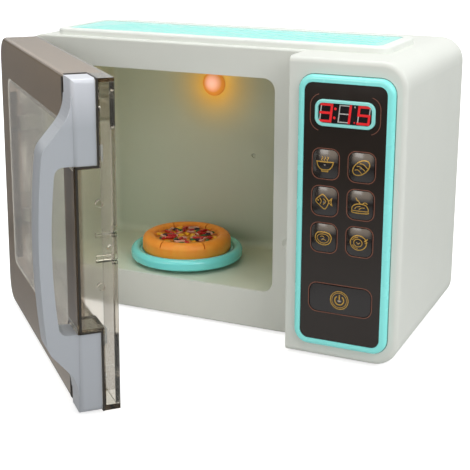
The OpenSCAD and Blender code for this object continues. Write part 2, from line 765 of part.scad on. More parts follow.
// clear cover of the door: front, four walls, screw posts, handle pockets and hinge knuckles
module door_cover() {
    pocket_a = door_l - grip_w - cover_t;
    color("dimgray", 0.55) on_door() difference() {
        union() {
            difference() {
                intersection() {
                    facing(0) translate([0, door_z, 0]) soft_block(door_l + 30, door_h, door_t, 15.2, 2.4);
                    linear_extrude(body_h + 2) union() {
                        translate([3, -door_t]) square([door_l - 3, door_t]);
                        translate([0, -door_t]) square([6, door_t - 3]);
                        translate([3, -3]) circle(r = 3);
                    }
                }
                intersection() {
                    facing(1) translate([cover_t, door_z + cover_t, 0])
                        slab(door_l + 30, door_h - 2 * cover_t, door_t - cover_t + 1, 15.2 - cover_t);
                    translate([0, -door_t - 1, 0]) cube([door_l - cover_t, door_t + 3, body_h]);
                }
            }
            intersection() {
                facing(0) translate([0.6, door_z + 0.6, 0]) slab(door_l + 30, door_h - 1.2, door_t - 0.6, 14.6);
                union() {
                    for (z = [door_z, body_h - door_z - grip_block - 2.2]) {
                        translate([pocket_a, -door_t + 0.4, z])
                            cube([grip_w + cover_t - 0.5, grip_wrap + 2.2, grip_block + 2.2]);
                    }
                    for (z = hinge_zs) {
                        for (dz = [-lug_h / 2 - 11, lug_h / 2 + 1]) {
                            translate([1, -hinge_b - 5, z + dz]) cube([8.4, 8.6, 10]);
                        }
                    }
                    for (p = door_posts) {
                        facing(-3) translate([p[0], p[1], 0]) cylinder(d = 7, h = door_t - 4);
                    }
                    for (z = [mid_z + 25.7, mid_z - 21.8]) {
                        translate([door_l - 5, -9, z]) rotate([0, 90, 0]) cylinder(d = 4, h = 4);
                    }
                    for (z = [snap_zs[0] + 1.2, snap_zs[1] - 2.7]) {
                        translate([door_l - cover_t - 1.2, -11.5, z]) cube([2, 8.5, 1.4]);
                    }
                }
            }
            translate([door_l - 1, -4, mid_z + 1]) rotate([0, 90, 0]) cylinder(d1 = 6, d2 = 2.6, h = 1.5);
        }
        for (z = [-1, body_h - door_z - grip_block - 0.3]) {
            translate([door_l - grip_w - 0.3, -door_t - 1, z])
                cube([grip_w + 2, grip_wrap + 1.3, grip_block + door_z + 1.3]);
        }
        for (z = [grip_block - 9.3, body_h - grip_block + 2.7]) {
            translate([grip_mid - 3.3, -door_t + grip_wrap - 1, z]) cube([6.6, 6, 6.6]);
        }
        for (z = grip_screws) {
            translate([grip_mid, 0, z]) rotate([90, 0, 0]) cylinder(d = screw_free, h = door_t - 2);
        }
        for (z = hinge_zs) {
            translate([-1, -hinge_b - 5.4, z - lug_h / 2 - 0.8]) cube([11.4, hinge_b + 7, lug_slot]);
            translate([hinge_a, -hinge_b, z - lug_h / 2 - 9]) cylinder(d = pin_d + 0.04, h = lug_h + 18);
        }
        for (p = door_posts) {
            facing(-2) translate([p[0], p[1], 0]) cylinder(d = screw_hole - 0.4, h = 10);
        }
        for (z = snap_zs) {
            translate([door_l - 4, -12, z - 0.6]) cube([6, 13, 1.2]);
        }
    }
}

// clear inner panel of the door with the window and its deep lip
module door_inner() {
    g = cover_t + fit_gap;
    a0 = win_margin;
    a1 = door_l - win_margin - 1;
    color("dimgray", 0.6) on_door() difference() {
        union() {
            intersection() {
                facing(0) translate([g, door_z + g, 0]) slab(door_l + 30, door_h - 2 * g, 2.4, 15.2 - g);
                translate([0, -3, 0]) cube([door_l - g, 4, body_h]);
            }
            facing(0) translate([a0, oven_z + 7, 0]) slab(a1 - a0, oven_h - 15, door_t - cover_t - 0.4, 7);
        }
        facing(1) translate([a0 + 2, oven_z + 9, 0]) slab(a1 - a0 - 4, oven_h - 19, door_t + 2, 5);
        for (z = hinge_zs) {
            translate([-1, -4, z - lug_h / 2 - 0.8]) cube([hinge_a + 6.9, 6, lug_slot]);
        }
        for (p = door_posts) {
            facing(1) translate([p[0], p[1], 0]) cylinder(d = 3, h = 6);
            facing(1) translate([p[0], p[1], 0]) cylinder(d = 6, h = 2.2);
        }
        for (z = snap_zs) {
            translate([door_l - cover_t - 3, -3, z - 3]) cube([6, 4, 6]);
        }
    }
}

// outline of the bow: x outward from the inner face, y up
module bow_outline() {
    face = door_t + grip_out;
    bend = 12;
    inner = 5;
    root = mid_z + 75.5;
    cz = mid_z + 51.5;
    cx = face - bow_r + sqrt(pow(bow_r - bend, 2) - pow(cz - mid_z, 2));
    dist = sqrt(pow(cx - door_t, 2) + pow(cz - root, 2));
    aim = atan2(cz - root, cx - door_t) + asin(bend / dist);
    reach = sqrt(dist * dist - bend * bend);
    half = (cz - mid_z) * bow_r / (bow_r - bend);
    in_r = bow_r - 110;
    in_z = door_h / 2 - grip_block - inner;
    in_x = face - grip_t - in_r + sqrt(pow(in_r - inner, 2) - in_z * in_z);
    in_half = in_z * in_r / (in_r - inner);
    difference() {
        union() {
            intersection() {
                translate([face - bow_r, mid_z]) circle(r = bow_r, $fn = 720);
                translate([door_t - 1.5, mid_z - half]) square([grip_out + 2, 2 * half]);
            }
            for (s = [0, 1]) {
                translate([0, s * body_h]) mirror([0, s]) {
                    translate([cx, body_h - cz]) circle(r = bend);
                    polygon([[door_t - 1.5, body_h - root - 1.8], [door_t, body_h - root],
                        [door_t + reach * cos(aim), body_h - root - reach * sin(aim)],
                        [cx, body_h - cz], [cx, mid_z], [door_t - 1.5, mid_z]]);
                }
            }
        }
        intersection() {
            translate([face - grip_t - in_r, mid_z]) circle(r = in_r, $fn = 720);
            translate([door_t - 2, mid_z - in_half]) square([grip_out, 2 * in_half]);
        }
        translate([door_t - 2, mid_z - in_z - inner]) square([in_x - door_t + 2, 2 * in_z + 2 * inner]);
        translate([door_t - 21.5, 0]) square([20, body_h]);
        for (s = [-1, 1]) {
            translate([in_x, mid_z + s * in_z]) circle(r = inner);
        }
    }
}

// bow handle with two blocks that wrap the end of the door and two hooks
module door_handle() {
    color("lightsteelblue") on_door() difference() {
        union() {
            for (z = [door_z, body_h - door_z - grip_block]) {
                intersection() {
                    translate([door_l - grip_w, -door_t, z]) linear_extrude(grip_block) union() {
                        translate([0, 3]) square([grip_w - 0.2, grip_wrap - 3]);
                        translate([3, 0]) square([grip_w - 6.2, 4]);
                        translate([3, 3]) circle(r = 3);
                        translate([grip_w - 3.2, 3]) circle(r = 3);
                    }
                    facing(0) translate([door_l - grip_w, door_z, 0])
                        slab(grip_w - 0.2, door_h, door_t + 1, 3);
                }
            }
            translate([door_l - grip_w + 0.6, 0, 0]) rotate([90, 0, 90]) mirror([1, 0, 0])
                linear_extrude(grip_w - 2) bow_outline();
            for (z = [[grip_block - 9, grip_block - 9], [body_h - grip_block + 3, body_h - grip_block]]) {
                translate([grip_mid - 3, -door_t + grip_wrap - 0.5, z[0]]) cube([6, 5.5, 6]);
                translate([grip_mid - 3, -door_t + grip_wrap + 3, z[1]]) cube([6, 2, 9]);
            }
        }
        for (z = grip_screws) {
            translate([grip_mid, -door_t + grip_wrap + 1, z]) rotate([90, 0, 0]) cylinder(d = 2.2, h = 10);
        }
    }
}

module handle_screw(i) {
    color("silver") on_door() translate([grip_mid, -door_t + grip_wrap + 2.65, grip_screws[i]])
        rotate([-90, 0, 0]) screw(5.2, 1.6, 2, 9);
}

module hinge_pin(i) {
    color("silver") on_door() translate([hinge_a, -hinge_b, hinge_zs[i] - lug_h / 2 - 8.8])
        cylinder(d = pin_d, h = lug_h + 17.6);
}

module door_screw(i) {
    p = door_posts[i];
    color("silver") on_door() backing(-1.1) translate([p[0], p[1], 0]) screw(5.4, 1, 2, 9);
}

module casing_screw(i) {
    color("silver") place() backing(cover_y + 1.45) translate([screw_posts[i][0], screw_posts[i][1], 0])
        screw(5.8, 1.4, 2.4, 12);
}

module foot(i) {
    color("dimgray") place() translate([foot_spots[i][0], foot_spots[i][1], -foot_h])
        cylinder(d = foot_d, h = foot_h + foot_in - 0.05);
}

front_casing();
rear_cover();
oven_tub();
top_rim();
top_inlay();
control_bezel();
control_panel();
display_frame();
display_module();
key_mat();
control_board();
food_key(0);  // key_1
food_key(1);  // key_2
food_key(2);  // key_3
food_key(3);  // key_4
food_key(4);  // key_5
food_key(5);  // key_6
key_power();
lamp_lens();
lamp_board();
speaker();
turntable_motor();
drive_shaft();
turntable_plate();
pizza_base();
pizza_toppings();
battery_box();
contacts_left();
contacts_right();
battery(0);  // battery_1
battery(1);  // battery_2
battery(2);  // battery_3
battery_door();
battery_door_screw();
door_cover();
door_inner();
door_handle();
handle_screw(0);  // handle_screw_1
handle_screw(1);  // handle_screw_2
hinge_pin(0);  // hinge_pin_low
hinge_pin(1);  // hinge_pin_high
door_screw(0);  // door_screw_1
door_screw(1);  // door_screw_2
door_screw(2);  // door_screw_3
door_screw(3);  // door_screw_4
casing_screw(0);  // casing_screw_1
casing_screw(1);  // casing_screw_2
casing_screw(2);  // casing_screw_3
casing_screw(3);  // casing_screw_4
casing_screw(4);  // casing_screw_5
casing_screw(5);  // casing_screw_6
foot(0);  // foot_1
foot(1);  // foot_2
foot(2);  // foot_3
foot(3);  // foot_4
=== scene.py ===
"""Toy microwave oven: finishes, prints, door film and painted gap shade, pizza filling, floor, light and
camera.
"""

import math

import bpy
from mathutils import Matrix, Vector


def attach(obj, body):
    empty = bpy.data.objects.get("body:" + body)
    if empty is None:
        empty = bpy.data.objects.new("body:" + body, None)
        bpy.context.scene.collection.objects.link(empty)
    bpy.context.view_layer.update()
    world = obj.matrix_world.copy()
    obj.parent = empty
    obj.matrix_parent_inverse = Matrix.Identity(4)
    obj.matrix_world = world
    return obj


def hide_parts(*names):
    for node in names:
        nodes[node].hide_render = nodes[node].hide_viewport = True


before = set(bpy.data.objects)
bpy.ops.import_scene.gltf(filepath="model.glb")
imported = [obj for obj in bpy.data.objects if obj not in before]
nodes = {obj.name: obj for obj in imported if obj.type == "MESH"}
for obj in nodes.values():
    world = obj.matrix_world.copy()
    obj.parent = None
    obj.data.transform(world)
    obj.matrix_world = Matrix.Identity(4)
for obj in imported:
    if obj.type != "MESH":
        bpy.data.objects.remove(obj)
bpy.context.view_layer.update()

# places on the body, in millimetres from its lower left front corner
FOOT_X = 24.0
FOOT_Y = 36.0
FOOT_H = 1.5
BODY_MID_X = 142.0
BODY_MID_Y = 70.0

# oven: its middle and back, the turntable, the pizza's upper side, and the lamp in its back wall
OVEN_MID = 104.5
OVEN_BACK_Y = 116.0
PLATE_Y = 70.0
PIZZA_TOP = 43.0
LAMP_Y = 110.5
LAMP_Z = 148.5
LENS_Y = 105.5
LENS_Z = 150.0
BULB_Y = 98.0
BULB_Z = 147.0

# control block: its front, its panel's face, and the middles of block, bezel, keys, display and speaker
BLOCK_MID = 247.0
BLOCK_FRONT_Y = 0.0
FACE_Y = -3.0
BEZEL_MID_Z = 94.05
KEY_COLS = (-11.4, 11.4)
KEY_Z = (126.0, 102.7, 79.4)
POWER_Z = 40.6
DISPLAY_Z = 157.5
SPEAKER_Y = 136.0
SPEAKER_Z = 122.0
# where the copper end of each cell's sleeve begins
CELL_BAND_X = 253.5


def at(x, y, z):
    """A point in millimetres from the body's corner, in the row frame in metres."""
    return Vector(((x - FOOT_X) / 1000, (y - FOOT_Y) / 1000, (z + FOOT_H) / 1000))


MIDDLE = at(BODY_MID_X, BODY_MID_Y, -FOOT_H)

# the open door: along it from its hinge edge, outward from its inner face, and up
DOOR_TURN = math.radians(44.0)
ALONG = Vector((math.cos(DOOR_TURN), -math.sin(DOOR_TURN), 0))
OUT = Vector((-math.sin(DOOR_TURN), -math.cos(DOOR_TURN), 0))
# the hinge pins on the body, and in the door
PIN_X = 4.9
PIN_Y = 17.4
PIN_ALONG = 4.5
PIN_OUT = 8.0
DOOR_0 = at(PIN_X, PIN_Y, 0) - ALONG * (PIN_ALONG / 1000) - OUT * (PIN_OUT / 1000)
DOOR_FRONT = 23.4
DOOR_MID_Z = 95.0


def on_door(a, b, z):
    """A point in millimetres along, outward and up in the frame of the open door."""
    return DOOR_0 + ALONG * (a / 1000) + OUT * (b / 1000) + Vector((0, 0, z / 1000))


def lin(r, g, b):
    """A colour written as 0 to 255 on screen, as linear light."""
    out = []
    for c in (r, g, b):
        c = c / 255.0
        out.append(c / 12.92 if c <= 0.04045 else ((c + 0.055) / 1.055) ** 2.4)
    return (*out, 1.0)


def darker(tone, factor):
    return tuple(c * factor for c in tone[:3]) + (1.0,)


# material helpers


class Graph:
    """Helpers that add, set and link the nodes of one tree, whose coord a subclass sets."""

    def __init__(self, tree):
        self.tree = tree
        self.tree.nodes.clear()

    def add(self, kind, **props):
        node = self.tree.nodes.new(kind)
        for key, value in props.items():
            setattr(node, key, value)
        return node

    def link(self, a, b):
        self.tree.links.new(a, b)

    def spread(self, value, a, b, low=0.3, high=0.7):
        """The value taken from the range low to high onto the range a to b."""
        node = self.add("ShaderNodeMapRange")
        node.inputs["From Min"].default_value = low
        node.inputs["From Max"].default_value = high
        node.inputs["To Min"].default_value = a
        node.inputs["To Max"].default_value = b
        self.link(value, node.inputs["Value"])
        return node.outputs["Result"]

    def mix(self, fac, a, b):
        """Two colours, each a tuple or a socket, mixed by a factor."""
        node = self.add("ShaderNodeMix", data_type="RGBA")
        self.link(fac, node.inputs[0])
        for socket, value in ((node.inputs[6], a), (node.inputs[7], b)):
            if isinstance(value, tuple):
                socket.default_value = value
            else:
                self.link(value, socket)
        return node.outputs[2]

    def math(self, op, a, b=0.0):
        """One calculation with two terms, each a number or a socket."""
        node = self.add("ShaderNodeMath", operation=op)
        for socket, value in zip(node.inputs, (a, b)):
            if isinstance(value, (int, float)):
                socket.default_value = value
            else:
                self.link(value, socket)
        return node.outputs[0]

    def pick(self, fac, a, b):
        """Shader a, or shader b where the factor is one."""
        node = self.add("ShaderNodeMixShader")
        for socket, value in zip(node.inputs, (fac, a, b)):
            self.link(value, socket)
        return node.outputs[0]

    def dot(self, direction):
        node = self.add("ShaderNodeVectorMath", operation="DOT_PRODUCT")
        self.link(self.coord, node.inputs[0])
        node.inputs[1].default_value = tuple(direction)
        return node.outputs["Value"]

    def axis(self, which):
        node = self.add("ShaderNodeSeparateXYZ")
        self.link(self.coord, node.inputs[0])
        return node.outputs[which]


class Shader(Graph):
    """A node material with helpers for noise and bump in object space."""

    def __init__(self, name):
        self.mat = bpy.data.materials.new(name)
        self.mat.use_nodes = True
        super().__init__(self.mat.node_tree)
        self.out = self.add("ShaderNodeOutputMaterial")
        self.bsdf = self.add("ShaderNodeBsdfPrincipled")
        self.link(self.bsdf.outputs["BSDF"], self.out.inputs["Surface"])
        self.coord = self.add("ShaderNodeTexCoord").outputs["Object"]

    def set(self, **values):
        for key, value in values.items():
            self.bsdf.inputs[key.replace("_", " ")].default_value = value

    def noise(self, scale, detail=3.0, rough=0.55, stretch=None, distort=0.0):
        node = self.add("ShaderNodeTexNoise")
        node.inputs["Scale"].default_value = scale
        node.inputs["Detail"].default_value = detail
        node.inputs["Roughness"].default_value = rough
        node.inputs["Distortion"].default_value = distort
        place = self.coord
        if stretch:
            mapping = self.add("ShaderNodeMapping")
            mapping.inputs["Scale"].default_value = stretch
            self.link(place, mapping.inputs["Vector"])
            place = mapping.outputs["Vector"]
        self.link(place, node.inputs["Vector"])
        return node.outputs["Fac"]

    def mottled(self, patch, a, b):
        """Two close tones in soft patches."""
        return self.mix(self.spread(self.noise(patch, 3.0), 0.0, 1.0, 0.2, 0.8), a, b)

    def distance(self, point, flat=False):
        """Metres from a point, or from the upright line through it."""
        place = self.coord
        if flat:
            corner = self.add("ShaderNodeCombineXYZ")
            self.link(self.axis(0), corner.inputs[0])
            self.link(self.axis(1), corner.inputs[1])
            place = corner.outputs[0]
        node = self.add("ShaderNodeVectorMath", operation="DISTANCE")
        self.link(place, node.inputs[0])
        node.inputs[1].default_value = (point.x, point.y, 0.0 if flat else point.z)
        return node.outputs["Value"]

    def reach(self, direction):
        """Millimetres from the door's own origin along a direction."""
        return self.math("SUBTRACT", self.dot(direction * 1000), DOOR_0.dot(direction) * 1000)

    def bump(self, height, strength, distance, after=None):
        node = self.add("ShaderNodeBump")
        node.inputs["Strength"].default_value = strength
        node.inputs["Distance"].default_value = distance
        self.link(height, node.inputs["Height"])
        if after is not None:
            self.link(after, node.inputs["Normal"])
        self.link(node.outputs["Normal"], self.bsdf.inputs["Normal"])
        return node.outputs["Normal"]

    def color(self, value):
        self.link(value, self.bsdf.inputs["Base Color"])

    def rough(self, value):
        self.link(value, self.bsdf.inputs["Roughness"])

    def emit(self, value, strength):
        self.link(value, self.bsdf.inputs["Emission Color"])
        self.set(Emission_Strength=strength)


def moulded(name, a, b, rough=0.42, grain=1500.0, depth=0.00006, patch=28.0, ior=1.47, coat=0.0):
    """Injection-moulded plastic: slight mottling, fine grain and uneven polish."""
    s = Shader(name)
    s.color(s.mottled(patch, a, b))
    s.rough(s.spread(s.noise(patch * 3.1, 4.0, 0.5), rough - 0.02, rough + 0.03))
    s.bump(s.noise(grain, 3.0, 0.6), 0.25, depth)
    s.set(IOR=ior, Coat_Weight=coat, Coat_Roughness=0.12)
    return s


def metal(name, tone, rough):
    """Bright metal with a cloudy tone and a fine grain."""
    s = Shader(name)
    s.color(s.mix(s.noise(220.0, 4.0), tone, darker(tone, 0.72)))
    s.rough(s.spread(s.noise(900.0, 5.0, 0.7), rough - 0.08, rough + 0.12))
    s.bump(s.noise(2600.0, 2.0), 0.2, 0.00004)
    s.set(Metallic=1.0)
    return s


def put(shader, *names):
    """Give CAD nodes a material."""
    for name in names:
        mats = nodes[name].data.materials
        mats.clear()
        mats.append(shader.mat)


def numbered(stem, count):
    return [stem + str(i) for i in range(1, count + 1)]


# shell: casing, oven tub, rim and battery box

casing = moulded("casing_plastic", lin(226, 229, 222), lin(223, 226, 219), 0.4)
put(casing, "front_casing", "rear_cover", "battery_door")


def tub_plastic():
    """Painted light and shade: paler at the upper left and on the floor, greyer to the lower right, and a
    painted glow of warm lamp light round the lamp.
    """
    patch = 18.0
    shaded = (lin(180, 187, 168), lin(175, 182, 162))
    s = moulded("tub_plastic", *shaded, 0.45, patch=patch)
    # painted light: the walls paler to the upper left and the floor paler, over the greyer painted shade of
    # the shaded tone
    lit_walls = s.spread(s.dot((-0.9, 0.0, 0.7)), 0.0, 1.0, -0.1, 0.08)
    lit_floor = s.spread(s.axis(2), 0.8, 0.0, 0.028, 0.036)
    pale = s.math("MAXIMUM", lit_walls, lit_floor)
    tone = s.mix(pale, s.mottled(patch, *shaded), s.mottled(patch, lin(222, 229, 212), lin(216, 223, 205)))
    # painted glow of the lamp's warm light on the wall round it
    painted_lamp_glow = s.spread(s.distance(at(OVEN_MID, LAMP_Y, LAMP_Z)), 1.0, 0.0, 0.006, 0.042)
    s.color(s.mix(s.math("POWER", painted_lamp_glow, 1.6), tone, lin(222, 184, 62)))
    return s


tub = tub_plastic()
put(tub, "oven_tub")

rim = moulded("rim_plastic", lin(240, 243, 238), lin(234, 238, 232), 0.36)
put(rim, "top_rim")

box_plastic = moulded("box_plastic", lin(212, 216, 210), lin(204, 208, 202), 0.5)
put(box_plastic, "battery_box")


# aqua pieces


def aqua(name, a, b, rough):
    return moulded(name, a, b, rough, grain=1900.0, depth=0.00003, coat=0.25)


def inlay_plastic():
    """Aqua with pale flow streaks along the slots."""
    tone = lin(168, 246, 238)
    s = aqua("inlay_plastic", tone, lin(162, 243, 234), 0.3)
    flow = s.noise(1.0, 4.0, 0.6, stretch=(260.0, 60.0, 40.0), distort=0.6)
    s.color(s.mix(s.spread(flow, 0.0, 0.55, 0.45, 0.75), tone, lin(222, 253, 248)))
    return s


put(aqua("bezel_plastic", lin(150, 249, 244), lin(146, 246, 241), 0.26), "control_bezel")
put(aqua("display_ring_plastic", lin(158, 240, 234), lin(152, 235, 229), 0.24), "display_frame")
put(inlay_plastic(), "top_inlay")

# control panel, keys and display

panel_tones = (lin(48, 42, 38), lin(44, 38, 34))
panel = moulded("panel_plastic", *panel_tones, 0.1, grain=1100.0, depth=0.00001, ior=1.45)
put(panel, "control_panel")

key_tones = (lin(36, 32, 31), lin(32, 28, 27))
keys = moulded("key_plastic", *key_tones, 0.2, grain=900.0, depth=0.000008, coat=0.5)
put(keys, *numbered("key_", 6), "key_power")

screen = moulded("screen_plastic", lin(34, 28, 30), lin(26, 22, 24), 0.14, grain=900.0, depth=0.000008)
put(screen, "display_module")

# inside: dome mat, boards, speaker, motor and shaft

mat_rubber = moulded("dome_rubber", lin(196, 198, 192), lin(186, 188, 182), 0.7)
put(mat_rubber, "key_mat")


def circuit_board():
    """Green board with paler tracks."""
    s = Shader("circuit_board")
    tracks = s.noise(1.0, 2.0, 0.4, stretch=(900.0, 60.0, 380.0))
    s.color(s.mix(s.spread(tracks, 0.0, 1.0, 0.49, 0.52), lin(16, 78, 44), lin(28, 108, 62)))
    s.rough(s.spread(s.noise(300.0), 0.3, 0.45))
    s.bump(tracks, 0.3, 0.00005)
    return s


def speaker_body():
    """Dark cone with fine rings about its middle."""
    s = Shader("speaker_body")
    from_middle = s.distance(at(BLOCK_MID, SPEAKER_Y, SPEAKER_Z))
    ring = s.math("SINE", s.math("MULTIPLY", from_middle, 4200.0))
    s.color(s.mix(s.spread(ring, 0.0, 1.0, -1.0, 1.0), lin(40, 40, 42), lin(58, 58, 60)))
    s.rough(s.spread(s.noise(500.0), 0.5, 0.7))
    s.bump(ring, 0.4, 0.0002)
    return s


put(circuit_board(), "control_board", "lamp_board")
put(speaker_body(), "speaker")
put(moulded("motor_plastic", lin(226, 224, 214), lin(214, 212, 202), 0.5), "turntable_motor")
put(moulded("shaft_plastic", lin(232, 232, 228), lin(224, 224, 220), 0.38), "drive_shaft")

# turntable plate

plate_tones = (lin(128, 238, 236), lin(123, 233, 231))
plate = moulded("plate_plastic", *plate_tones, 0.2, grain=1700.0, depth=0.00003, coat=0.5)
put(plate, "turntable_plate")

# door handle


def handle_plastic():
    """Grey plastic, with a painted highlight making its top end paler and painted shade making it a little
    darker low down.
    """
    tones = (lin(178, 183, 189), lin(175, 180, 186))
    s = moulded("handle_plastic", *tones, 0.34, grain=1600.0, depth=0.00003, coat=0.1)
    # painted highlight at the top end and painted shade low down
    high = s.spread(s.axis(2), 0.0, 1.0, 0.165, 0.19)
    low = s.spread(s.axis(2), 1.0, 0.0, 0.01, 0.1)
    s.color(s.mix(low, s.mix(high, s.mottled(28.0, *tones), lin(214, 217, 224)), lin(168, 172, 178)))
    return s


def soften(ob, width):
    """Small rounding on the sharp edges of a moulded piece."""
    weld = ob.modifiers.new("weld", "WELD")
    weld.merge_threshold = 0.000002
    flatten = ob.modifiers.new("flatten", "DECIMATE")
    flatten.decimate_type = "DISSOLVE"
    flatten.angle_limit = math.radians(0.6)
    soft = ob.modifiers.new("soft_edges", "BEVEL")
    soft.width = width
    soft.segments = 3
    soft.limit_method = "ANGLE"
    soft.angle_limit = math.radians(28.0)


HANDLE_EDGE = 0.0026
BLEND_EDGE = 0.0012
handle = handle_plastic()
put(handle, "door_handle")
soften(nodes["door_handle"], HANDLE_EDGE)

# feet, screws, pins, contacts and cells


def foot_rubber():
    s = Shader("foot_rubber")
    s.color(s.mix(s.noise(400.0, 5.0), lin(44, 44, 46), lin(58, 58, 60)))
    s.rough(s.spread(s.noise(700.0), 0.75, 0.92))
    s.bump(s.noise(1500.0, 4.0), 0.5, 0.0001)
    return s


def cell_sleeve():
    """Dark sleeve with a copper end."""
    s = Shader("cell_sleeve")
    band = s.math("GREATER_THAN", s.axis(0), at(CELL_BAND_X, 0, 0).x)
    s.color(s.mix(band, lin(38, 40, 44), lin(214, 128, 44)))
    s.rough(s.spread(s.noise(260.0), 0.28, 0.42))
    s.bump(s.noise(1400.0), 0.2, 0.00003)
    return s


put(foot_rubber(), *numbered("foot_", 4))

screws = numbered("casing_screw_", 6) + numbered("door_screw_", 4) + numbered("handle_screw_", 2)
put(metal("zinc_steel", lin(196, 197, 200), 0.28), *screws, "battery_door_screw")
put(metal("pin_steel", lin(176, 176, 180), 0.22), "hinge_pin_low", "hinge_pin_high")
put(metal("contact_steel", lin(206, 204, 196), 0.3), "contacts_left", "contacts_right")
put(cell_sleeve(), *numbered("battery_", 3))

# lens of the oven lamp


def lamp_lens():
    """Amber lens that glows pale in its middle."""
    s = Shader("lamp_lens_plastic")
    glow = s.spread(s.distance(at(OVEN_MID, LENS_Y, LENS_Z)), 1.0, 0.0, 0.0022, 0.0112)
    s.color(s.mix(glow, lin(160, 110, 48), lin(150, 124, 116)))
    s.emit(s.mix(glow, lin(184, 116, 46), lin(250, 214, 222)), 0.8)
    s.set(Specular_IOR_Level=0.1)
    s.rough(s.spread(s.noise(500.0), 0.5, 0.65))
    s.bump(s.noise(700.0), 0.2, 0.0001)
    return s


put(lamp_lens(), "lamp_lens")

# clear smoke plastic of the door

SMOKE_TINT = (0.50, 0.44, 0.34, 1.0)


def smoke(name, tint, density, rough, shadow):
    """Clear smoke plastic: dark where one looks along the wall, and it lets lamps through."""
    s = Shader(name)
    s.color(s.mix(s.noise(22.0, 4.0), tint, darker(tint, 0.97)))
    s.rough(s.spread(s.noise(60.0, 5.0), rough, rough + 0.05))
    s.bump(s.noise(180.0, 3.0), 0.12, 0.00008)
    s.set(Transmission_Weight=1.0, IOR=1.45)
    clear = s.add("ShaderNodeBsdfTransparent")
    clear.inputs["Color"].default_value = shadow
    in_shadow = s.add("ShaderNodeLightPath").outputs["Is Shadow Ray"]
    surface = s.pick(in_shadow, s.bsdf.outputs["BSDF"], clear.outputs["BSDF"])
    s.link(surface, s.out.inputs["Surface"])
    volume = s.add("ShaderNodeVolumeAbsorption")
    volume.inputs["Color"].default_value = SMOKE_TINT
    volume.inputs["Density"].default_value = density
    s.link(volume.outputs["Volume"], s.out.inputs["Volume"])
    return s


def smoke_inner():
    """The inner panel; the lip of its window is browner near the front, where it is thickest."""
    tint = lin(250, 248, 244)
    s = smoke("smoke_inner", tint, 25.0, 0.06, (0.88, 0.87, 0.84, 1.0))
    lip = s.spread(s.reach(OUT), 0.0, 1.0, 12.5, 14.0)
    s.color(s.mix(lip, tint, lin(196, 180, 166)))
    return s


put(smoke("smoke_cover", lin(244, 242, 236), 54.0, 0.05, (0.82, 0.8, 0.76, 1.0)), "door_cover")
put(smoke_inner(), "door_inner")

# pizza base


def pizza_crust():
    """Baked rim, and molten cheese inside it."""
    s = Shader("pizza_crust")
    from_middle = s.distance(at(OVEN_MID, PLATE_Y, 0), flat=True)
    inside = s.spread(from_middle, 1.0, 0.0, 0.0222, 0.0245)
    baked = s.mix(s.spread(s.noise(160.0, 5.0), 0.0, 1.0), lin(255, 168, 60), lin(255, 152, 46))
    browned = s.spread(s.noise(230.0, 5.0, 0.6), 0.0, 1.0, 0.42, 0.62)
    s.color(s.mix(inside, baked, s.mix(browned, lin(240, 158, 42), lin(196, 70, 26))))
    s.rough(s.spread(s.noise(240.0), 0.34, 0.5))
    melt = s.math("MULTIPLY", s.noise(330.0, 4.0, 0.6), inside)
    s.bump(s.noise(900.0, 4.0), 0.25, 0.0001, s.bump(melt, 0.8, 0.0012))
    return s


put(pizza_crust(), "pizza_base")

# mesh helpers


def mesh_piece(name, verts, faces, shader, body, smooth=False):
    """A piece of the scene's own that rides on a body and has a material slot."""
    mesh = bpy.data.meshes.new(name)
    mesh.from_pydata([tuple(v) for v in verts], [], faces)
    mesh.validate()
    mesh.update()
    for polygon in mesh.polygons:
        polygon.use_smooth = smooth
    ob = bpy.data.objects.new(name, mesh)
    bpy.context.scene.collection.objects.link(ob)
    mesh.materials.append(shader.mat)
    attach(ob, body)
    return ob


def join(name, parts, shader, body, smooth=False):
    """One piece made of several (points, faces) pairs."""
    verts = []
    faces = []
    for part_verts, part_faces in parts:
        first = len(verts)
        verts += part_verts
        faces += [tuple(i + first for i in face) for face in part_faces]
    return mesh_piece(name, verts, faces, shader, body, smooth)


def quads_between(rows, count, first=0):
    """Faces between rows of points that each close on themselves."""
    faces = []
    for row in range(rows - 1):
        for j in range(count):
            a = first + row * count + j
            b = first + row * count + (j + 1) % count
            faces.append((a, b, b + count, a + count))
    return faces


def stroke(points, width, closed=False):
    """Left and right rails of a ribbon along a flat line."""
    n = len(points)
    left = []
    right = []
    for i, p in enumerate(points):
        before = points[(i - 1) % n] if closed or i else p
        after = points[(i + 1) % n] if closed or i < n - 1 else p
        d1 = Vector((p[0] - before[0], p[1] - before[1]))
        d2 = Vector((after[0] - p[0], after[1] - p[1]))
        d1 = d1.normalized() if d1.length > 1e-9 else d2.normalized()
        d2 = d2.normalized() if d2.length > 1e-9 else d1
        run = (d1 + d2).normalized() if (d1 + d2).length > 1e-6 else d1
        side = Vector((-run.y, run.x))
        reach = width / 2 / max(0.5, side.dot(Vector((-d1.y, d1.x))))
        left.append((p[0] + side.x * reach, p[1] + side.y * reach))
        right.append((p[0] - side.x * reach, p[1] - side.y * reach))
    return left, right


def dense(points, closed=False, step=0.6):
    """The same line with extra points, so that it follows a domed face."""
    out = []
    for a, b in zip(points, points[1:] + (points[:1] if closed else [])):
        n = max(1, math.ceil(math.dist(a, b) / step))
        out += [(a[0] + (b[0] - a[0]) * i / n, a[1] + (b[1] - a[1]) * i / n) for i in range(n)]
    return out if closed else out + [tuple(points[-1])]


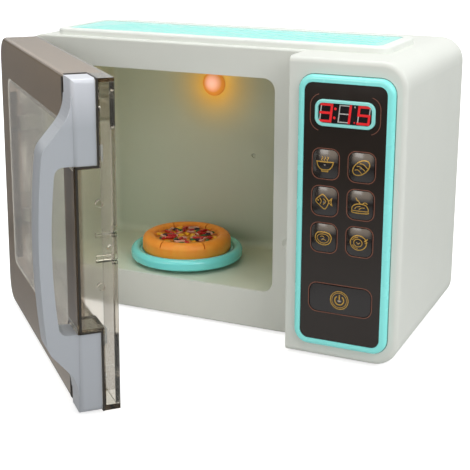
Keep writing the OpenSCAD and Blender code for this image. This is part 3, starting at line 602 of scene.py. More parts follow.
class Print:
    """Printed ribbons and shapes that lie on a face given by depth(u, v)."""

    EDGE = 0.12

    def __init__(self, centre_x, centre_z, depth, lift=0.05):
        self.centre_x = centre_x
        self.centre_z = centre_z
        self.depth = depth
        self.lift = lift
        self.verts = []
        self.faces = []

    def vert(self, u, v, under=0.0):
        y = self.depth(u, v) - self.lift + under
        self.verts.append(at(self.centre_x + u, y, self.centre_z + v))
        return len(self.verts) - 1

    def line(self, points, width, closed=False):
        """A ribbon with a short edge on both sides."""
        points = dense(points, closed)
        rows = []
        for left, right in zip(*stroke(points, width, closed)):
            top = (self.vert(*left), self.vert(*right))
            rows.append((*top, self.vert(*left, self.EDGE), self.vert(*right, self.EDGE)))
        n = len(points)
        for i in range(n if closed else n - 1):
            a = rows[i]
            b = rows[(i + 1) % n]
            self.faces.append((a[0], a[1], b[1], b[0]))
            self.faces.append((a[2], a[0], b[0], b[2]))
            self.faces.append((a[1], a[3], b[3], b[1]))

    def shape(self, points):
        """A filled outline with a short edge all round."""
        top = [self.vert(u, v) for u, v in points]
        low = [self.vert(u, v, self.EDGE) for u, v in points]
        n = len(points)
        self.faces.append(tuple(top))
        for i in range(n):
            self.faces.append((top[i], low[i], low[(i + 1) % n], top[(i + 1) % n]))

    def make(self, name, shader, body):
        return mesh_piece(name, self.verts, self.faces, shader, body)


def arc(cx, cy, rx, ry, a0, a1, n=20, tilt=0.0):
    """Points along an elliptical arc from angle a0 to angle a1, turned by tilt."""
    lean = math.radians(tilt)
    out = []
    for i in range(n + 1):
        a = math.radians(a0 + (a1 - a0) * i / n)
        x = rx * math.cos(a)
        y = ry * math.sin(a)
        across = x * math.cos(lean) - y * math.sin(lean)
        out.append((cx + across, cy + x * math.sin(lean) + y * math.cos(lean)))
    return out


def loop(cx, cy, rx, ry, n=36, tilt=0.0):
    """A whole ellipse without its last point, which is its first."""
    return arc(cx, cy, rx, ry, 0, 360 - 360 / n, n - 1, tilt)


def round_rect(w, h, r, n=6):
    """Outline with width, height and corner radius about its middle."""
    x = w / 2 - r
    y = h / 2 - r
    points = []
    for cx, cy, start in ((x, y, 0), (-x, y, 90), (-x, -y, 180), (x, -y, 270)):
        points += arc(cx, cy, r, r, start, start + 90, n)
    return points


def curve_value(p, t):
    """Smooth value between the middle two of four numbers."""
    linear = (p[2] - p[0]) * t
    square = (2 * p[0] - 5 * p[1] + 4 * p[2] - p[3]) * t * t
    cubic = (3 * p[1] - p[0] - 3 * p[2] + p[3]) * t**3
    return 0.5 * (2 * p[1] + linear + square + cubic)


def smooth_line(points, n=6, closed=False):
    """Smooth curve through the points."""
    m = len(points)
    out = []
    for i in range(m if closed else m - 1):
        if closed:
            near = [points[(i + k) % m] for k in (-1, 0, 1, 2)]
        else:
            near = [points[min(max(i + k, 0), m - 1)] for k in (-1, 0, 1, 2)]
        for j in range(n):
            out.append(tuple(curve_value(values, j / n) for values in zip(*near)))
    if not closed:
        out.append(tuple(points[-1]))
    return out


# inks


def ink(name, a, b, patch, gloss_patch):
    """Printed ink with a slightly uneven tone and polish."""
    s = Shader(name)
    s.color(s.mix(s.spread(s.noise(patch), 0.0, 1.0), a, b))
    s.rough(s.spread(s.noise(gloss_patch), 0.35, 0.5))
    s.bump(s.noise(2500.0), 0.2, 0.00002)
    return s


def digit_red():
    s = Shader("digit_red")
    s.color(s.mix(s.noise(900.0), lin(214, 18, 28), lin(202, 14, 24)))
    # painted glow: the red print gives off light of its own, though it is no lamp
    s.emit(s.mix(s.noise(600.0), lin(250, 22, 30), lin(236, 18, 26)), 0.28)
    s.rough(s.spread(s.noise(700.0), 0.3, 0.45))
    return s


def digit_pale():
    s = Shader("digit_pale")
    s.color(s.mix(s.noise(900.0), lin(206, 202, 198), lin(188, 184, 180)))
    s.rough(s.spread(s.noise(700.0), 0.35, 0.5))
    return s


gold = ink("gold_print", lin(196, 156, 66), lin(178, 138, 54), 700.0, 900.0)
gold.set(Metallic=0.25)
copper = ink("copper_print", lin(130, 78, 58), lin(112, 66, 50), 500.0, 800.0)

# faces that prints lie on


def level(y):
    """A flat face."""
    return lambda u, v: y


def domed(radius, rise):
    """A round face that stands out of the panel by its rise."""
    return lambda u, v: FACE_Y - (rise - radius + math.sqrt(radius * radius - u * u - v * v))


key_face = domed(radius=30.0, rise=1.6)
power_face = domed(radius=180.0, rise=0.9)

# outlines round the keys and the two brackets beside the display, as width, height and corner radius

KEY_RING = (17.3, 19.1, 4.9)
POWER_RING = (41.1, 19.1, 5.5)
DISPLAY_RING = (44.0, 22.6, 7.2)
KEY_LINE = 0.52
BRACKET_LINE = 0.42
BRACKET_FROM = 16.5

rings = Print(BLOCK_MID, 0.0, level(FACE_Y))
for col in KEY_COLS:
    for z in KEY_Z:
        rings.line([(u + col, v + z) for u, v in round_rect(*KEY_RING)], KEY_LINE, True)
rings.line([(u, v + POWER_Z) for u, v in round_rect(*POWER_RING)], KEY_LINE, True)
for side in (1, -1):
    bracket = [(u * side, v + DISPLAY_Z) for u, v in round_rect(*DISPLAY_RING) if u > BRACKET_FROM]
    bracket.sort(key=lambda point: point[1])
    rings.line(bracket, BRACKET_LINE)
rings.make("key_outlines", copper, "body")

# painted shade: a dark strip on the block's face in the gap round the bezel
BEZEL_RING = (61.1, 172.2, 9.75)
BEZEL_GAP = 0.5
gap = moulded("bezel_gap_painted_shade", lin(112, 146, 140), lin(104, 138, 132), 0.6, depth=0.00002)
bezel_gap = Print(BLOCK_MID, BEZEL_MID_Z, level(BLOCK_FRONT_Y))
bezel_gap.line(round_rect(*BEZEL_RING), BEZEL_GAP, True)
bezel_gap.make("bezel_gap", gap, "body")

# food pictures on the keys: lists of lines and their widths, in millimetres from the key's middle


def soup_bowl():
    inside = [(-5.2, 1.4), (-4.7, -0.6), (-3.4, -2.5), (-2.0, -3.2), (0, -3.4)]
    bowl = inside + [(-x, y) for x, y in reversed(inside[:-1])]
    steam = []
    for x in (-1.8, 0.0, 1.8):
        steam.append((smooth_line([(x, 2.2), (x - 0.5, 3.0), (x + 0.4, 3.8), (x - 0.2, 4.8)]), 0.42))
    return [
        ([(-5.6, 1.6), (5.6, 1.6)], 0.7),
        (smooth_line(bowl), 0.62),
        ([(-2.2, -4.4), (2.2, -4.4)], 0.7),
        ([(-1.9, -3.3), (-2.1, -4.4)], 0.5),
        ([(1.9, -3.3), (2.1, -4.4)], 0.5),
        *steam,
    ]


def bread():
    return [
        (loop(0, 0, 6.0, 3.7, tilt=38), 0.62),
        (smooth_line([(-3.9, -1.6), (-2.2, -1.2), (-0.9, -2.0), (0.4, -3.3)]), 0.5),
        (smooth_line([(-2.7, 0.8), (-0.8, 0.9), (1.0, -0.3), (2.6, -1.6)]), 0.5),
        (smooth_line([(-0.9, 2.7), (1.2, 2.5), (2.9, 1.2), (4.2, -0.1)]), 0.5),
    ]


def fish():
    body = [(-5.4, 0.2), (-3.2, 3.0), (-0.9, 4.4), (1.6, 2.4)]
    body += [(3.0, 0.3), (2.2, -2.4), (0.4, -4.6), (-2.6, -2.6)]
    return [
        (smooth_line(body, closed=True), 0.6),
        ([(2.9, 0.4), (4.9, 2.4), (4.4, 0.2), (5.1, -2.2), (2.9, 0.0)], 0.55),
        (smooth_line([(-2.8, 2.2), (-1.7, 0.4), (-2.5, -1.7)]), 0.5),
        (smooth_line([(-0.6, 1.9), (0.9, 0.8), (0.9, -0.6), (-0.6, -1.8)]), 0.45),
        (loop(-3.8, 0.6, 0.35, 0.35, 10), 0.35),
    ]


def roast():
    meat = [(-5.2, -3.2), (-4.6, -0.8), (-2.4, 0.8), (0.6, 1.2), (3.6, 0.6), (5.0, -1.2), (5.3, -3.3)]
    return [
        (smooth_line([(-5.3, -3.6), (-4.2, -4.6), (4.4, -4.6), (5.4, -3.7)]), 0.6),
        (smooth_line(meat), 0.62),
        ([(-5.3, -3.3), (5.3, -3.3)], 0.5),
        (smooth_line([(-3.2, -2.4), (-2.0, -0.8), (0.4, -0.4)]), 0.45),
        (smooth_line([(-0.4, -2.4), (1.0, -1.2), (3.2, -1.0)]), 0.45),
        (smooth_line([(0.2, 1.2), (-0.8, 2.8), (-2.0, 3.6), (-2.6, 4.8)]), 0.55),
        (smooth_line([(1.6, 1.1), (3.0, 2.2), (4.8, 1.4)]), 0.5),
    ]


def filled_plate():
    edge = [(-5.2, 0.4), (-3.6, 3.4), (0.2, 4.0), (3.8, 3.2)]
    edge += [(5.2, 0.4), (3.8, -3.0), (0.2, -4.2), (-3.6, -2.8)]
    well = [(-3.9, 0.3), (-2.6, 2.2), (0.2, 2.8), (2.8, 2.1)]
    well += [(3.9, 0.3), (2.8, -2.0), (0.2, -3.0), (-2.6, -1.9)]
    return [
        (smooth_line(edge, closed=True), 0.6),
        (smooth_line(well, closed=True), 0.42),
        (smooth_line([(-1.8, 0.9), (-0.4, 1.5), (0.9, 0.6)]), 0.4),
        (smooth_line([(-1.2, -1.0), (0.4, -0.4), (1.9, -1.2)]), 0.4),
    ]


def round_dish():
    return [
        (loop(-0.2, 0, 5.1, 4.6), 0.6),
        (loop(-0.4, 0, 2.7, 2.4), 0.5),
        ([(3.6, 1.2), (5.6, 2.9)], 0.6),
        ([(3.9, 0.1), (5.7, 0.9)], 0.5),
        (smooth_line([(-4.0, 1.4), (-2.6, 2.9), (-0.6, 3.4)]), 0.42),
        (smooth_line([(-4.0, -1.5), (-2.4, -3.0), (-0.4, -3.5)]), 0.42),
        (smooth_line([(-1.4, 0.4), (-0.2, -0.7), (1.0, 0.4)]), 0.42),
    ]


def is_ring(points):
    """A ring comes without its last point, so its ends nearly meet."""
    return len(points) > 8 and math.dist(points[0], points[-1]) < 1.2


pictures = (soup_bowl, bread, fish, roast, filled_plate, round_dish)
for i, picture in enumerate(pictures):
    icon = Print(BLOCK_MID + KEY_COLS[i % 2], KEY_Z[i // 2], key_face)
    for points, width in picture():
        icon.line(points, width, is_ring(points))
    icon.make("icon_%d" % (i + 1), gold, "key_%d_body" % (i + 1))

# power sign: a double ring round an open circle with a bar
POWER_RINGS = ((5.75, 0.5), (4.75, 0.35))
POWER_R = 2.9
POWER_LINE = 0.75
power = Print(BLOCK_MID, POWER_Z, power_face)
for radius, width in POWER_RINGS:
    power.line(loop(0, 0, radius, radius, 44), width, True)
power.line(arc(0, 0, POWER_R, POWER_R, 125, 415, 28), POWER_LINE)
power.line([(0, 0.2), (0, 3.6)], POWER_LINE)
power.make("icon_power", gold, "key_power_body")

# seven-bar digits: each bar is a thick stroke if lit and a thin pale one if not
CELL_W = 8.2
CELL_H = 11.6
LEAN = 0.10
LIT_T = 1.5
DIM_T = 0.65
DIM_LIFT = 0.025
BARS = "abcdefg"
ACROSS = {"a": 1.0, "g": 0.5, "d": 0.0}
UPRIGHT = {"f": (0, 0.5, 1.0), "b": (1, 0.5, 1.0), "e": (0, 0.0, 0.5), "c": (1, 0.0, 0.5)}
DIGITS = ((230.8, "abcdg"), (242.5, "bc"), (254.6, "acdfg"))
COLON_X = 240.55
COLON_V = 2.75
COLON_R = 0.85
POINT_R = 0.5


def upright_bar(name, on, t, w, h):
    """Corners of an upright bar, cut back where a bar across meets it."""
    side, low, high = UPRIGHT[name]
    y0 = low * h
    y1 = high * h
    if ("g" if low else "d") in on:
        y0 += t / 2
    elif not low:
        y0 -= t / 2
    if ("a" if high == 1.0 else "g") in on:
        y1 -= t / 2
    elif high == 1.0:
        y1 += t / 2
    return side * w - t / 2, y0, side * w + t / 2, y1


def digit(target, x0, on, t):
    """Bars between the middle lines of the cell's strokes, square at the corners."""
    w = CELL_W - LIT_T
    h = CELL_H - LIT_T
    for name in on:
        if name in ACROSS:
            y = ACROSS[name] * h
            left, low, right, high = (-t / 2, y - t / 2, w + t / 2, y + t / 2)
        else:
            left, low, right, high = upright_bar(name, on, t, w, h)
        corners = []
        for u, v in ((left, low), (right, low), (right, high), (left, high)):
            v += LIT_T / 2 - CELL_H / 2
            corners.append((x0 - BLOCK_MID + u + LIT_T / 2 + v * LEAN, v))
        target.shape(corners)


digits_lit = Print(BLOCK_MID, DISPLAY_Z, level(FACE_Y))
digits_dim = Print(BLOCK_MID, DISPLAY_Z, level(FACE_Y), DIM_LIFT)
for x0, on in DIGITS:
    digit(digits_lit, x0, on, LIT_T)
    digit(digits_dim, x0, "".join(bar for bar in BARS if bar not in on), DIM_T)
for v in (COLON_V, -COLON_V):
    digits_lit.shape(loop(COLON_X - BLOCK_MID + v * LEAN, v, COLON_R, COLON_R, 14))
digits_lit.shape(loop(5.9, -4.7, POINT_R, POINT_R, 10))
digits_dim.shape(loop(6.1, 4.7, POINT_R, POINT_R, 10))
digits_lit.make("digits_lit", digit_red(), "body")
digits_dim.make("digits_unlit", digit_pale(), "body")

# dark film in the back of the door's clear front, open at the window and at the handle pockets
FILM_A0 = 2.0
FILM_A1 = 207.2
FILM_H = 92.6
FILM_R = 13.2
FILM_DEPTH = (20.95, 21.15)
WIN_A0 = 22.4
WIN_A1 = 184.4
WIN_R = 7.0
WIN_DOWN = 62.6
WIN_UP = 68.6
POCKET_A = 185.4
POCKET_H = 44.7
STRIP_A1 = 187.5
STRIP_DEPTH = (1.0, 21.1)
STRIPS_Z = ((2.5, 2.7), (187.3, 187.5))


def film(outline):
    """Flat sheet with an outline of (a, z) points in the back of the door's front."""
    n = len(outline)
    verts = [on_door(a, b, z) for b in reversed(FILM_DEPTH) for a, z in outline]
    faces = [tuple(range(n)), tuple(reversed(range(n, 2 * n)))]
    return verts, faces + [(i, i + n, (i + 1) % n + n, (i + 1) % n) for i in range(n)]


def brick(along, out, up):
    """A box in the door's frame, given by its range along, outward and up."""
    corners = [(along[0], out[0]), (along[1], out[0]), (along[1], out[1]), (along[0], out[1])]
    verts = [on_door(a, b, z) for z in up for a, b in corners]
    return verts, [(0, 1, 2, 3), (7, 6, 5, 4), (0, 4, 5, 1), (1, 5, 6, 2), (2, 6, 7, 3), (3, 7, 4, 0)]


def film_half(side, window_h):
    """The film above the window, or below it, with the window's two round corners."""
    corner_h = window_h - WIN_R
    line = arc(FILM_A0 + FILM_R, FILM_H - FILM_R, FILM_R, FILM_R, 180, 90, 8)
    line += [(POCKET_A, FILM_H), (POCKET_A, POCKET_H), (WIN_A1, POCKET_H)]
    line += arc(WIN_A1 - WIN_R, corner_h, WIN_R, WIN_R, 0, 90, 7)
    line += arc(WIN_A0 + WIN_R, corner_h, WIN_R, WIN_R, 90, 180, 7)
    line.append((FILM_A0, corner_h))
    return film([(a, DOOR_MID_Z + side * h) for a, h in line])


def film_strip(a0, a1, down, up):
    """An upright strip of film beside the window."""
    low = DOOR_MID_Z - down
    high = DOOR_MID_Z + up
    return film([(a0, low), (a1, low), (a1, high), (a0, high)])


border = [film_half(-1, WIN_DOWN), film_half(1, WIN_UP)]
border.append(film_strip(FILM_A0, WIN_A0, WIN_DOWN - WIN_R, WIN_UP - WIN_R))
border.append(film_strip(WIN_A1, FILM_A1, POCKET_H, POCKET_H))
# strips behind the bottom and top walls
for up in STRIPS_Z:
    border.append(brick((FILM_A0 + FILM_R, STRIP_A1), STRIP_DEPTH, up))
film_print = moulded("window_mask_print", lin(132, 112, 86), lin(126, 107, 82), 0.55, depth=0.00002)
join("window_border", border, film_print, "door")

# painted shade: dark strips in the gaps round the handle blocks and down the edge of the front
END_SHADE = (208.7, 209.12)
FRONT_SHADE = (22.9, 23.43)
WALL_SHADE = (94.2, 94.63)
FRONT_EDGE = (21.2, 22.5)
BETWEEN_BLOCKS = (47.9, 142.1)
# ranges along and outward on the door, and up or down from its middle
BLOCK_SHADES = (
    ((185.7, 188.5), FRONT_SHADE, (47.2, 93.0)),
    (END_SHADE, (9.1, 10.3), (46.3, 94.2)),
    (END_SHADE, (10.3, 22.6), (46.3, 47.3)),
    ((186.2, 188.5), (9.4, 22.2), WALL_SHADE),
    ((187.5, 209.0), (9.3, 10.3), WALL_SHADE),
)

# near-black painted shade for the gaps
gap_shade_paint = moulded("painted_gap_shade", lin(44, 40, 34), lin(39, 35, 30), 0.6, depth=0.00002)
shade_strips = [brick(END_SHADE, FRONT_EDGE, BETWEEN_BLOCKS)]
for side in (1, -1):
    for along, out, reach in BLOCK_SHADES:
        up = sorted(DOOR_MID_Z + side * h for h in reach)
        shade_strips.append(brick(along, out, up))
join("handle_gap_shades", shade_strips, gap_shade_paint, "door")

# brown side of the window's lip at the hinge, with two dark strips of painted shade where the hinge gaps
# show through
LIP_SIDE = (25.2, 25.4)
LIP_GAP_SHADE = (25.4, 25.7)
LIP_DEPTH = (15.4, 20.4)
LIP_Z = (36.0, 154.0)
HINGE_SHADES_Z = ((126.4, 129.6), (59.0, 65.4))

lip_tone = moulded("lip_tint", lin(104, 90, 74), lin(98, 85, 70), 0.5, depth=0.00002)
join("window_lip_side", [brick(LIP_SIDE, LIP_DEPTH, LIP_Z)], lip_tone, "door")
# painted shade: two dark strips where the hinge gaps show through the lip
hinge_shades = [brick(LIP_GAP_SHADE, LIP_DEPTH, up) for up in HINGE_SHADES_Z]
join("window_lip_hinge_shades", hinge_shades, gap_shade_paint, "door")

# blends between the bow and the blocks of the handle
BOW_ANGLE = math.radians(41.0)
BLEND_ROOT = 75.5
BLEND_LENGTH = 9.5
BLEND_SIDES = (189.25, 207.15)
BLEND_STEPS = 8


def grip_blend(side):
    """Concave curve in the corner between bow and block; its back lies inside the handle."""
    corner = Vector((DOOR_FRONT, BLEND_ROOT))
    on_block = corner + Vector((0.0, BLEND_LENGTH))
    on_bow = corner + BLEND_LENGTH * Vector((math.sin(BOW_ANGLE), -math.cos(BOW_ANGLE)))
    shape = []
    for i in range(BLEND_STEPS + 1):
        t = i / BLEND_STEPS
        shape.append(on_block * (1 - t) ** 2 + corner * 2 * t * (1 - t) + on_bow * t * t)
    shape.append(on_bow + Vector((-0.6, -0.3)))
    shape.append(corner + Vector((-0.5, -0.5)))
    shape.append(on_block + Vector((-0.5, 0.0)))
    n = len(shape)
    verts = [on_door(a, q.x, DOOR_MID_Z + side * q.y) for a in BLEND_SIDES for q in shape]
    faces = quads_between(2, n) + [tuple(reversed(range(n))), tuple(range(n, 2 * n))]
    return verts, faces if side == 1 else [tuple(reversed(f)) for f in faces]


blends = join("grip_blends", [grip_blend(1), grip_blend(-1)], handle, "door")
soften(blends, BLEND_EDGE)

# plug in the small moulding hole of the oven's back wall, as rings of (radius, depth)
PLUG_X = OVEN_MID + 32.7
PLUG_Z = 96.8
PLUG_MIDDLE = 0.55
PLUG_RINGS = ((0.9, 0.45), (1.35, 0.3), (1.62, 0.75), (1.66, 1.4))
PLUG_SIDES = 20

plug_verts = [at(PLUG_X, OVEN_BACK_Y + PLUG_MIDDLE, PLUG_Z)]
for radius, depth in PLUG_RINGS:
    for j in range(PLUG_SIDES):
        t = 2 * math.pi * j / PLUG_SIDES
        x = PLUG_X + radius * math.cos(t)
        plug_verts.append(at(x, OVEN_BACK_Y + depth, PLUG_Z + radius * math.sin(t)))
plug_faces = [(0, 1 + (j + 1) % PLUG_SIDES, 1 + j) for j in range(PLUG_SIDES)]
plug_faces += quads_between(len(PLUG_RINGS), PLUG_SIDES, 1)
mesh_piece("tub_plug", plug_verts, plug_faces, tub, "body", True)

# pizza filling


def tube(points, radius, flatten, sides=8):
    """Closed round-section strip along points in metres, narrower at its ends."""
    last = len(points) - 1
    verts = []
    for i, p in enumerate(points):
        run = (points[min(i + 1, last)] - points[max(i - 1, 0)]).normalized()
        side = run.cross(Vector((0, 0, 1))).normalized()
        up = side.cross(run).normalized()
        k = radius * (0.35 if i in (0, last) else 1.0)
        for j in range(sides):
            a = 2 * math.pi * j / sides
            verts.append(p + side * math.cos(a) * k + up * math.sin(a) * k * flatten)
    faces = quads_between(last + 1, sides)
    faces.append(tuple(reversed(range(sides))))
    faces.append(tuple(range(last * sides, (last + 1) * sides)))
    return verts, faces


def lump(centre, half, turn, rough):
    """Uneven ellipsoid with three half lengths in metres, turned by an angle in degrees."""
    rows = 6
    sides = 12
    angle = math.radians(turn)
    verts = []
    for i in range(rows + 1):
        a = math.pi * i / rows
        for j in range(sides):
            b = 2 * math.pi * j / sides
            k = 1 + rough * math.sin(3 * b + 5 * angle) * math.sin(a)
            x = half[0] * math.sin(a) * math.cos(b) * k
            y = half[1] * math.sin(a) * math.sin(b) * k
            across = x * math.cos(angle) - y * math.sin(angle)
            back = x * math.sin(angle) + y * math.cos(angle)
            verts.append(centre + Vector((across, back, half[2] * math.cos(a))))
    return verts, quads_between(rows + 1, sides)


def spot(radius, angle, lift):
    """A place on the pizza, in millimetres and degrees from its middle."""
    a = math.radians(angle)
    return at(OVEN_MID + radius * math.cos(a), PLATE_Y + radius * math.sin(a), PIZZA_TOP + lift)


def food(name, a, b, rough):
    s = Shader(name)
    s.color(s.mix(s.spread(s.noise(420.0, 4.0), 0.0, 1.0), a, b))
    s.rough(s.spread(s.noise(700.0), rough - 0.06, rough + 0.08))
    s.bump(s.noise(1300.0, 4.0), 0.3, 0.00012)
    return s


def pepper_strip(k, turn, offset, r0, r1):
    """Wavy strip from radius r0 out to radius r1."""
    points = []
    for i in range(7):
        t = i / 6
        angle = turn + offset + 9 * math.sin(2.6 * t + k)
        points.append(spot(r0 + (r1 - r0) * t, angle, 0.75 + 0.35 * math.sin(3 * t)))
    return tube(points, radius=0.0013, flatten=0.7)


def onion_arcs(turn):
    """A long arc near the rim and a short one near the middle."""
    outer = [spot(17.5 + 1.2 * math.sin(i * 0.9), turn - 24 + i * 4.0, 1.3) for i in range(8)]
    inner = [spot(8.0 + 0.9 * math.cos(i), turn + 24 + i * 9.0, 1.2) for i in range(6)]
    return [tube(outer, 0.0007, 1.3), tube(inner, 0.0006, 1.3)]


def olive_ring(turn):
    centre = spot(15.4, turn + 38, 1.2)
    points = []
    for i in range(11):
        a = i * math.pi / 5
        points.append(centre + 0.0017 * Vector((math.cos(a), math.sin(a), 0)))
    return tube(points, radius=0.00062, flatten=1.1)


strips = []
leaves = []
onions = []
lumps = []
olives = []
for k in range(6):
    turn = k * 60 + 50
    strips.append(pepper_strip(k, turn, -13, 6.0, 15.5))
    strips.append(pepper_strip(k, turn, 9, 9.0, 20.5))
    onions += onion_arcs(turn)
    leaves.append(lump(spot(12.5, turn + 27, 0.9), (0.0026, 0.0014, 0.0008), turn + 60, 0.22))
    leaves.append(lump(spot(19.5, turn - 4, 0.8), (0.0021, 0.0012, 0.0007), turn + 20 * k, 0.22))
    lumps.append(lump(spot(20.6, turn + 22, 0.3), (0.0034, 0.0024, 0.0009), turn, 0.15))
    lumps.append(lump(spot(5.2, turn + 4, 0.3), (0.0026, 0.0018, 0.0008), turn + 40, 0.15))
    lumps.append(lump(spot(13.6, turn - 27, 0.3), (0.0030, 0.0020, 0.0008), turn + 80, 0.15))
    olives.append(olive_ring(turn))

red = food("pepper_red", lin(206, 24, 24), lin(176, 14, 18), 0.3)
green = food("leaf_green", lin(34, 92, 40), lin(54, 122, 52), 0.45)
white = food("onion_white", lin(232, 186, 160), lin(214, 150, 124), 0.3)
yellow = food("cheese_yellow", lin(250, 196, 40), lin(240, 172, 30), 0.35)
olive = food("olive_dark", lin(60, 34, 44), lin(42, 24, 34), 0.3)

base_piece = join("topping_strips", strips, red, "pizza", True)
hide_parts("pizza_toppings")
join("topping_leaves", leaves, green, "pizza", True)
join("topping_onion", onions, white, "pizza", True)
join("topping_cheese", lumps, yellow, "pizza", True)
join("topping_olives", olives, olive, "pizza", True)

# world

WHITE = (1.0, 1.0, 1.0, 1.0)
AMBIENT = (1.0, 0.99, 0.97, 1.0)
AMBIENT_STRENGTH = 0.38
WINDOW_TINT = (1.0, 0.84, 0.68, 1.0)
WINDOW_STRENGTH = 2.3
# soft edges of the window: an axis of the ray's direction, where the light begins and where it is full
WINDOW_EDGES = ((2, -0.04, 0.03), (2, 0.52, 0.44), (0, -0.86, -0.74), (0, 0.22, 0.1), (1, -0.3, -0.45))


class Sky(Graph):
    """The world's node tree, with the direction of the ray as its coordinate."""

    def __init__(self, name):
        world = bpy.data.worlds.new(name)
        bpy.context.scene.world = world
        world.use_nodes = True
        super().__init__(world.node_tree)
        self.coord = self.add("ShaderNodeTexCoord").outputs["Generated"]

    def background(self, tint=WHITE, strength=1.0):
        node = self.add("ShaderNodeBackground")
        node.inputs["Color"].default_value = tint
        node.inputs["Strength"].default_value = strength
        return node

    def window(self):
        """A wide soft window low in front, which the domed keys mirror."""
        seen = WINDOW_STRENGTH
        for axis, begins, full in WINDOW_EDGES:
            seen = self.math("MULTIPLY", self.spread(self.axis(axis), 0.0, 1.0, begins, full), seen)
        return seen


def studio_world():
    """In reflections the room is dark at eye level and bright above; the camera sees white."""
    sky = Sky("studio")
    window = sky.window()
    rise = sky.spread(sky.axis(2), 0.12, 0.95, 0.02, 0.2)
    mirrored = sky.background()
    sky.link(sky.math("ADD", rise, window), mirrored.inputs["Strength"])
    sky.link(sky.mix(window, WHITE, WINDOW_TINT), mirrored.inputs["Color"])
    ray = sky.add("ShaderNodeLightPath").outputs
    ambient = sky.background(AMBIENT, AMBIENT_STRENGTH)
    surface = sky.pick(ray["Is Glossy Ray"], ambient.outputs[0], mirrored.outputs[0])
    straight = sky.math("MAXIMUM", ray["Is Camera Ray"], ray["Is Transmission Ray"])
    surface = sky.pick(straight, surface, sky.background().outputs[0])
    sky.link(surface, sky.add("ShaderNodeOutputWorld").inputs["Surface"])


studio_world()

# floor

FLOOR_RADIUS = 3.0
FLOOR_SIDES = 96
FLOOR_DROP = 0.0002
# middle of the bright spot before the keys
BEFORE_KEYS = at(215.0, -95.0, 0.0)


def floor_glow(s):
    """Mirrored in the object the floor is bright before the keys, at the left back and far in front."""
    before_keys = s.spread(s.distance(BEFORE_KEYS), 0.62, 0.03, 0.05, 0.42)
    left_back = s.spread(s.dot((-0.86, 0.5, 0.0)), 0.0, 0.2, 0.0, 0.25)
    far_front = s.spread(s.axis(1), 0.0, 1.2, -1.05, -1.3)
    glow = s.add("ShaderNodeEmission")
    s.link(s.math("ADD", s.math("ADD", before_keys, left_back), far_front), glow.inputs["Strength"])
    return glow.outputs[0]


def floor_paper():
    """White paper that brightens away from the object, plain white through the smoke plastic."""
    s = Shader("floor_paper")
    s.color(s.mix(s.noise(30.0), (0.60, 0.60, 0.60, 1), (0.62, 0.62, 0.62, 1)))
    s.set(Roughness=0.9)
    ray = s.add("ShaderNodeLightPath").outputs
    far = s.spread(s.distance(MIDDLE), 0.72, 1.2, 0.25, 1.3)
    shine = s.add("ShaderNodeEmission")
    s.link(s.math("MULTIPLY", ray["Is Camera Ray"], far), shine.inputs["Strength"])
    lit_paper = s.add("ShaderNodeAddShader")
    s.link(s.bsdf.outputs["BSDF"], lit_paper.inputs[0])
    s.link(shine.outputs["Emission"], lit_paper.inputs[1])
    plain = s.add("ShaderNodeEmission")
    plain.inputs["Strength"].default_value = 1.0
    surface = s.pick(ray["Is Glossy Ray"], lit_paper.outputs[0], floor_glow(s))
    surface = s.pick(ray["Is Transmission Ray"], surface, plain.outputs[0])
    s.link(surface, s.out.inputs["Surface"])
    return s


floor_rim = []
for i in range(FLOOR_SIDES):
    a = 2 * math.pi * i / FLOOR_SIDES
    floor_rim.append(MIDDLE + Vector((FLOOR_RADIUS * math.cos(a), FLOOR_RADIUS * math.sin(a), -FLOOR_DROP)))
floor_mesh = bpy.data.meshes.new("floor")
floor_mesh.from_pydata(floor_rim, [], [tuple(range(FLOOR_SIDES))])
floor_mesh.materials.append(floor_paper().mat)
floor = bpy.data.objects.new("floor", floor_mesh)
bpy.context.scene.collection.objects.link(floor)

# lamps: places and sizes in metres, measured from the middle of the object on the floor

LAMP_TARGET = Vector((0.0, 0.0, 0.1))
COOL = (0.96, 0.99, 1.0)
FAINT_COOL = (0.98, 0.99, 1.0)


def lamp(name, where, size, watts, tint=(1.0, 1.0, 1.0)):
    """Area lamp that faces the middle of the object."""
    data = bpy.data.lights.new(name, "AREA")
    data.shape = "RECTANGLE"
    data.size = size[0]
    data.size_y = size[1]
    data.energy = watts
    data.color = tint
    ob = bpy.data.objects.new(name, data)
    bpy.context.scene.collection.objects.link(ob)
    ob.location = Vector(where) + MIDDLE
    ob.rotation_euler = (LAMP_TARGET - Vector(where)).to_track_quat("-Z", "Y").to_euler()


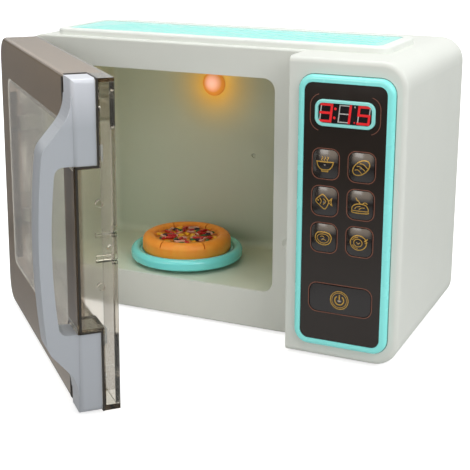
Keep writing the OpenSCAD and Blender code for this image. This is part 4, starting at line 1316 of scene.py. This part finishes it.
def bulb(name, where, watts, tint, radius):
    """The small lamp inside the oven."""
    data = bpy.data.lights.new(name, "POINT")
    data.energy = watts
    data.color = tint
    data.shadow_soft_size = radius
    ob = bpy.data.objects.new(name, data)
    bpy.context.scene.collection.objects.link(ob)
    ob.location = where


lamp("key_light", (1.2, -0.7, 1.0), (0.9, 0.9), 8.7)
lamp("right_light", (1.4, 0.35, 0.75), (0.8, 0.8), 4.6, COOL)
lamp("top_light", (-0.1, 0.0, 1.5), (1.2, 0.8), 11.6)
lamp("left_light", (-0.45, -1.3, 0.55), (0.5, 0.36), 2.2, FAINT_COOL)
bulb("oven_lamp", at(OVEN_MID, BULB_Y, BULB_Z), 0.011, (1.0, 0.55, 0.07), 0.004)

# camera, solved from the photo's own edges

CAM_PLACE = (0.42986, -0.65779, 0.2818)
CAM_YAW = math.radians(24.226)
CAM_PITCH = math.radians(13.336)
CAM_ROLL = math.radians(-0.344)
CAM_SHIFT_Y = -0.15
FOCAL_PIXELS = 1110.13
PHOTO_PIXELS = 470
SENSOR = 36.0


def camera_turn():
    """Turn of the camera from its yaw, pitch and roll."""
    level_run = math.cos(CAM_PITCH)
    forward = Vector((-math.sin(CAM_YAW) * level_run, math.cos(CAM_YAW) * level_run, -math.sin(CAM_PITCH)))
    right = Vector((math.cos(CAM_YAW), math.sin(CAM_YAW), 0))
    down = forward.cross(right)
    across = right * math.cos(CAM_ROLL) + down * math.sin(CAM_ROLL)
    up = right * math.sin(CAM_ROLL) - down * math.cos(CAM_ROLL)
    return Matrix((across, up, -forward)).transposed().to_4x4()


cam_data = bpy.data.cameras.new("camera")
cam_data.sensor_width = SENSOR
cam_data.lens = FOCAL_PIXELS / PHOTO_PIXELS * SENSOR
cam_data.shift_y = CAM_SHIFT_Y
cam_data.clip_start = 0.01
cam_data.clip_end = 50
cam = bpy.data.objects.new("camera", cam_data)
bpy.context.scene.collection.objects.link(cam)
cam.matrix_world = Matrix.Translation(CAM_PLACE) @ camera_turn()
bpy.context.scene.camera = cam

bpy.context.scene.view_settings.view_transform = "Standard"
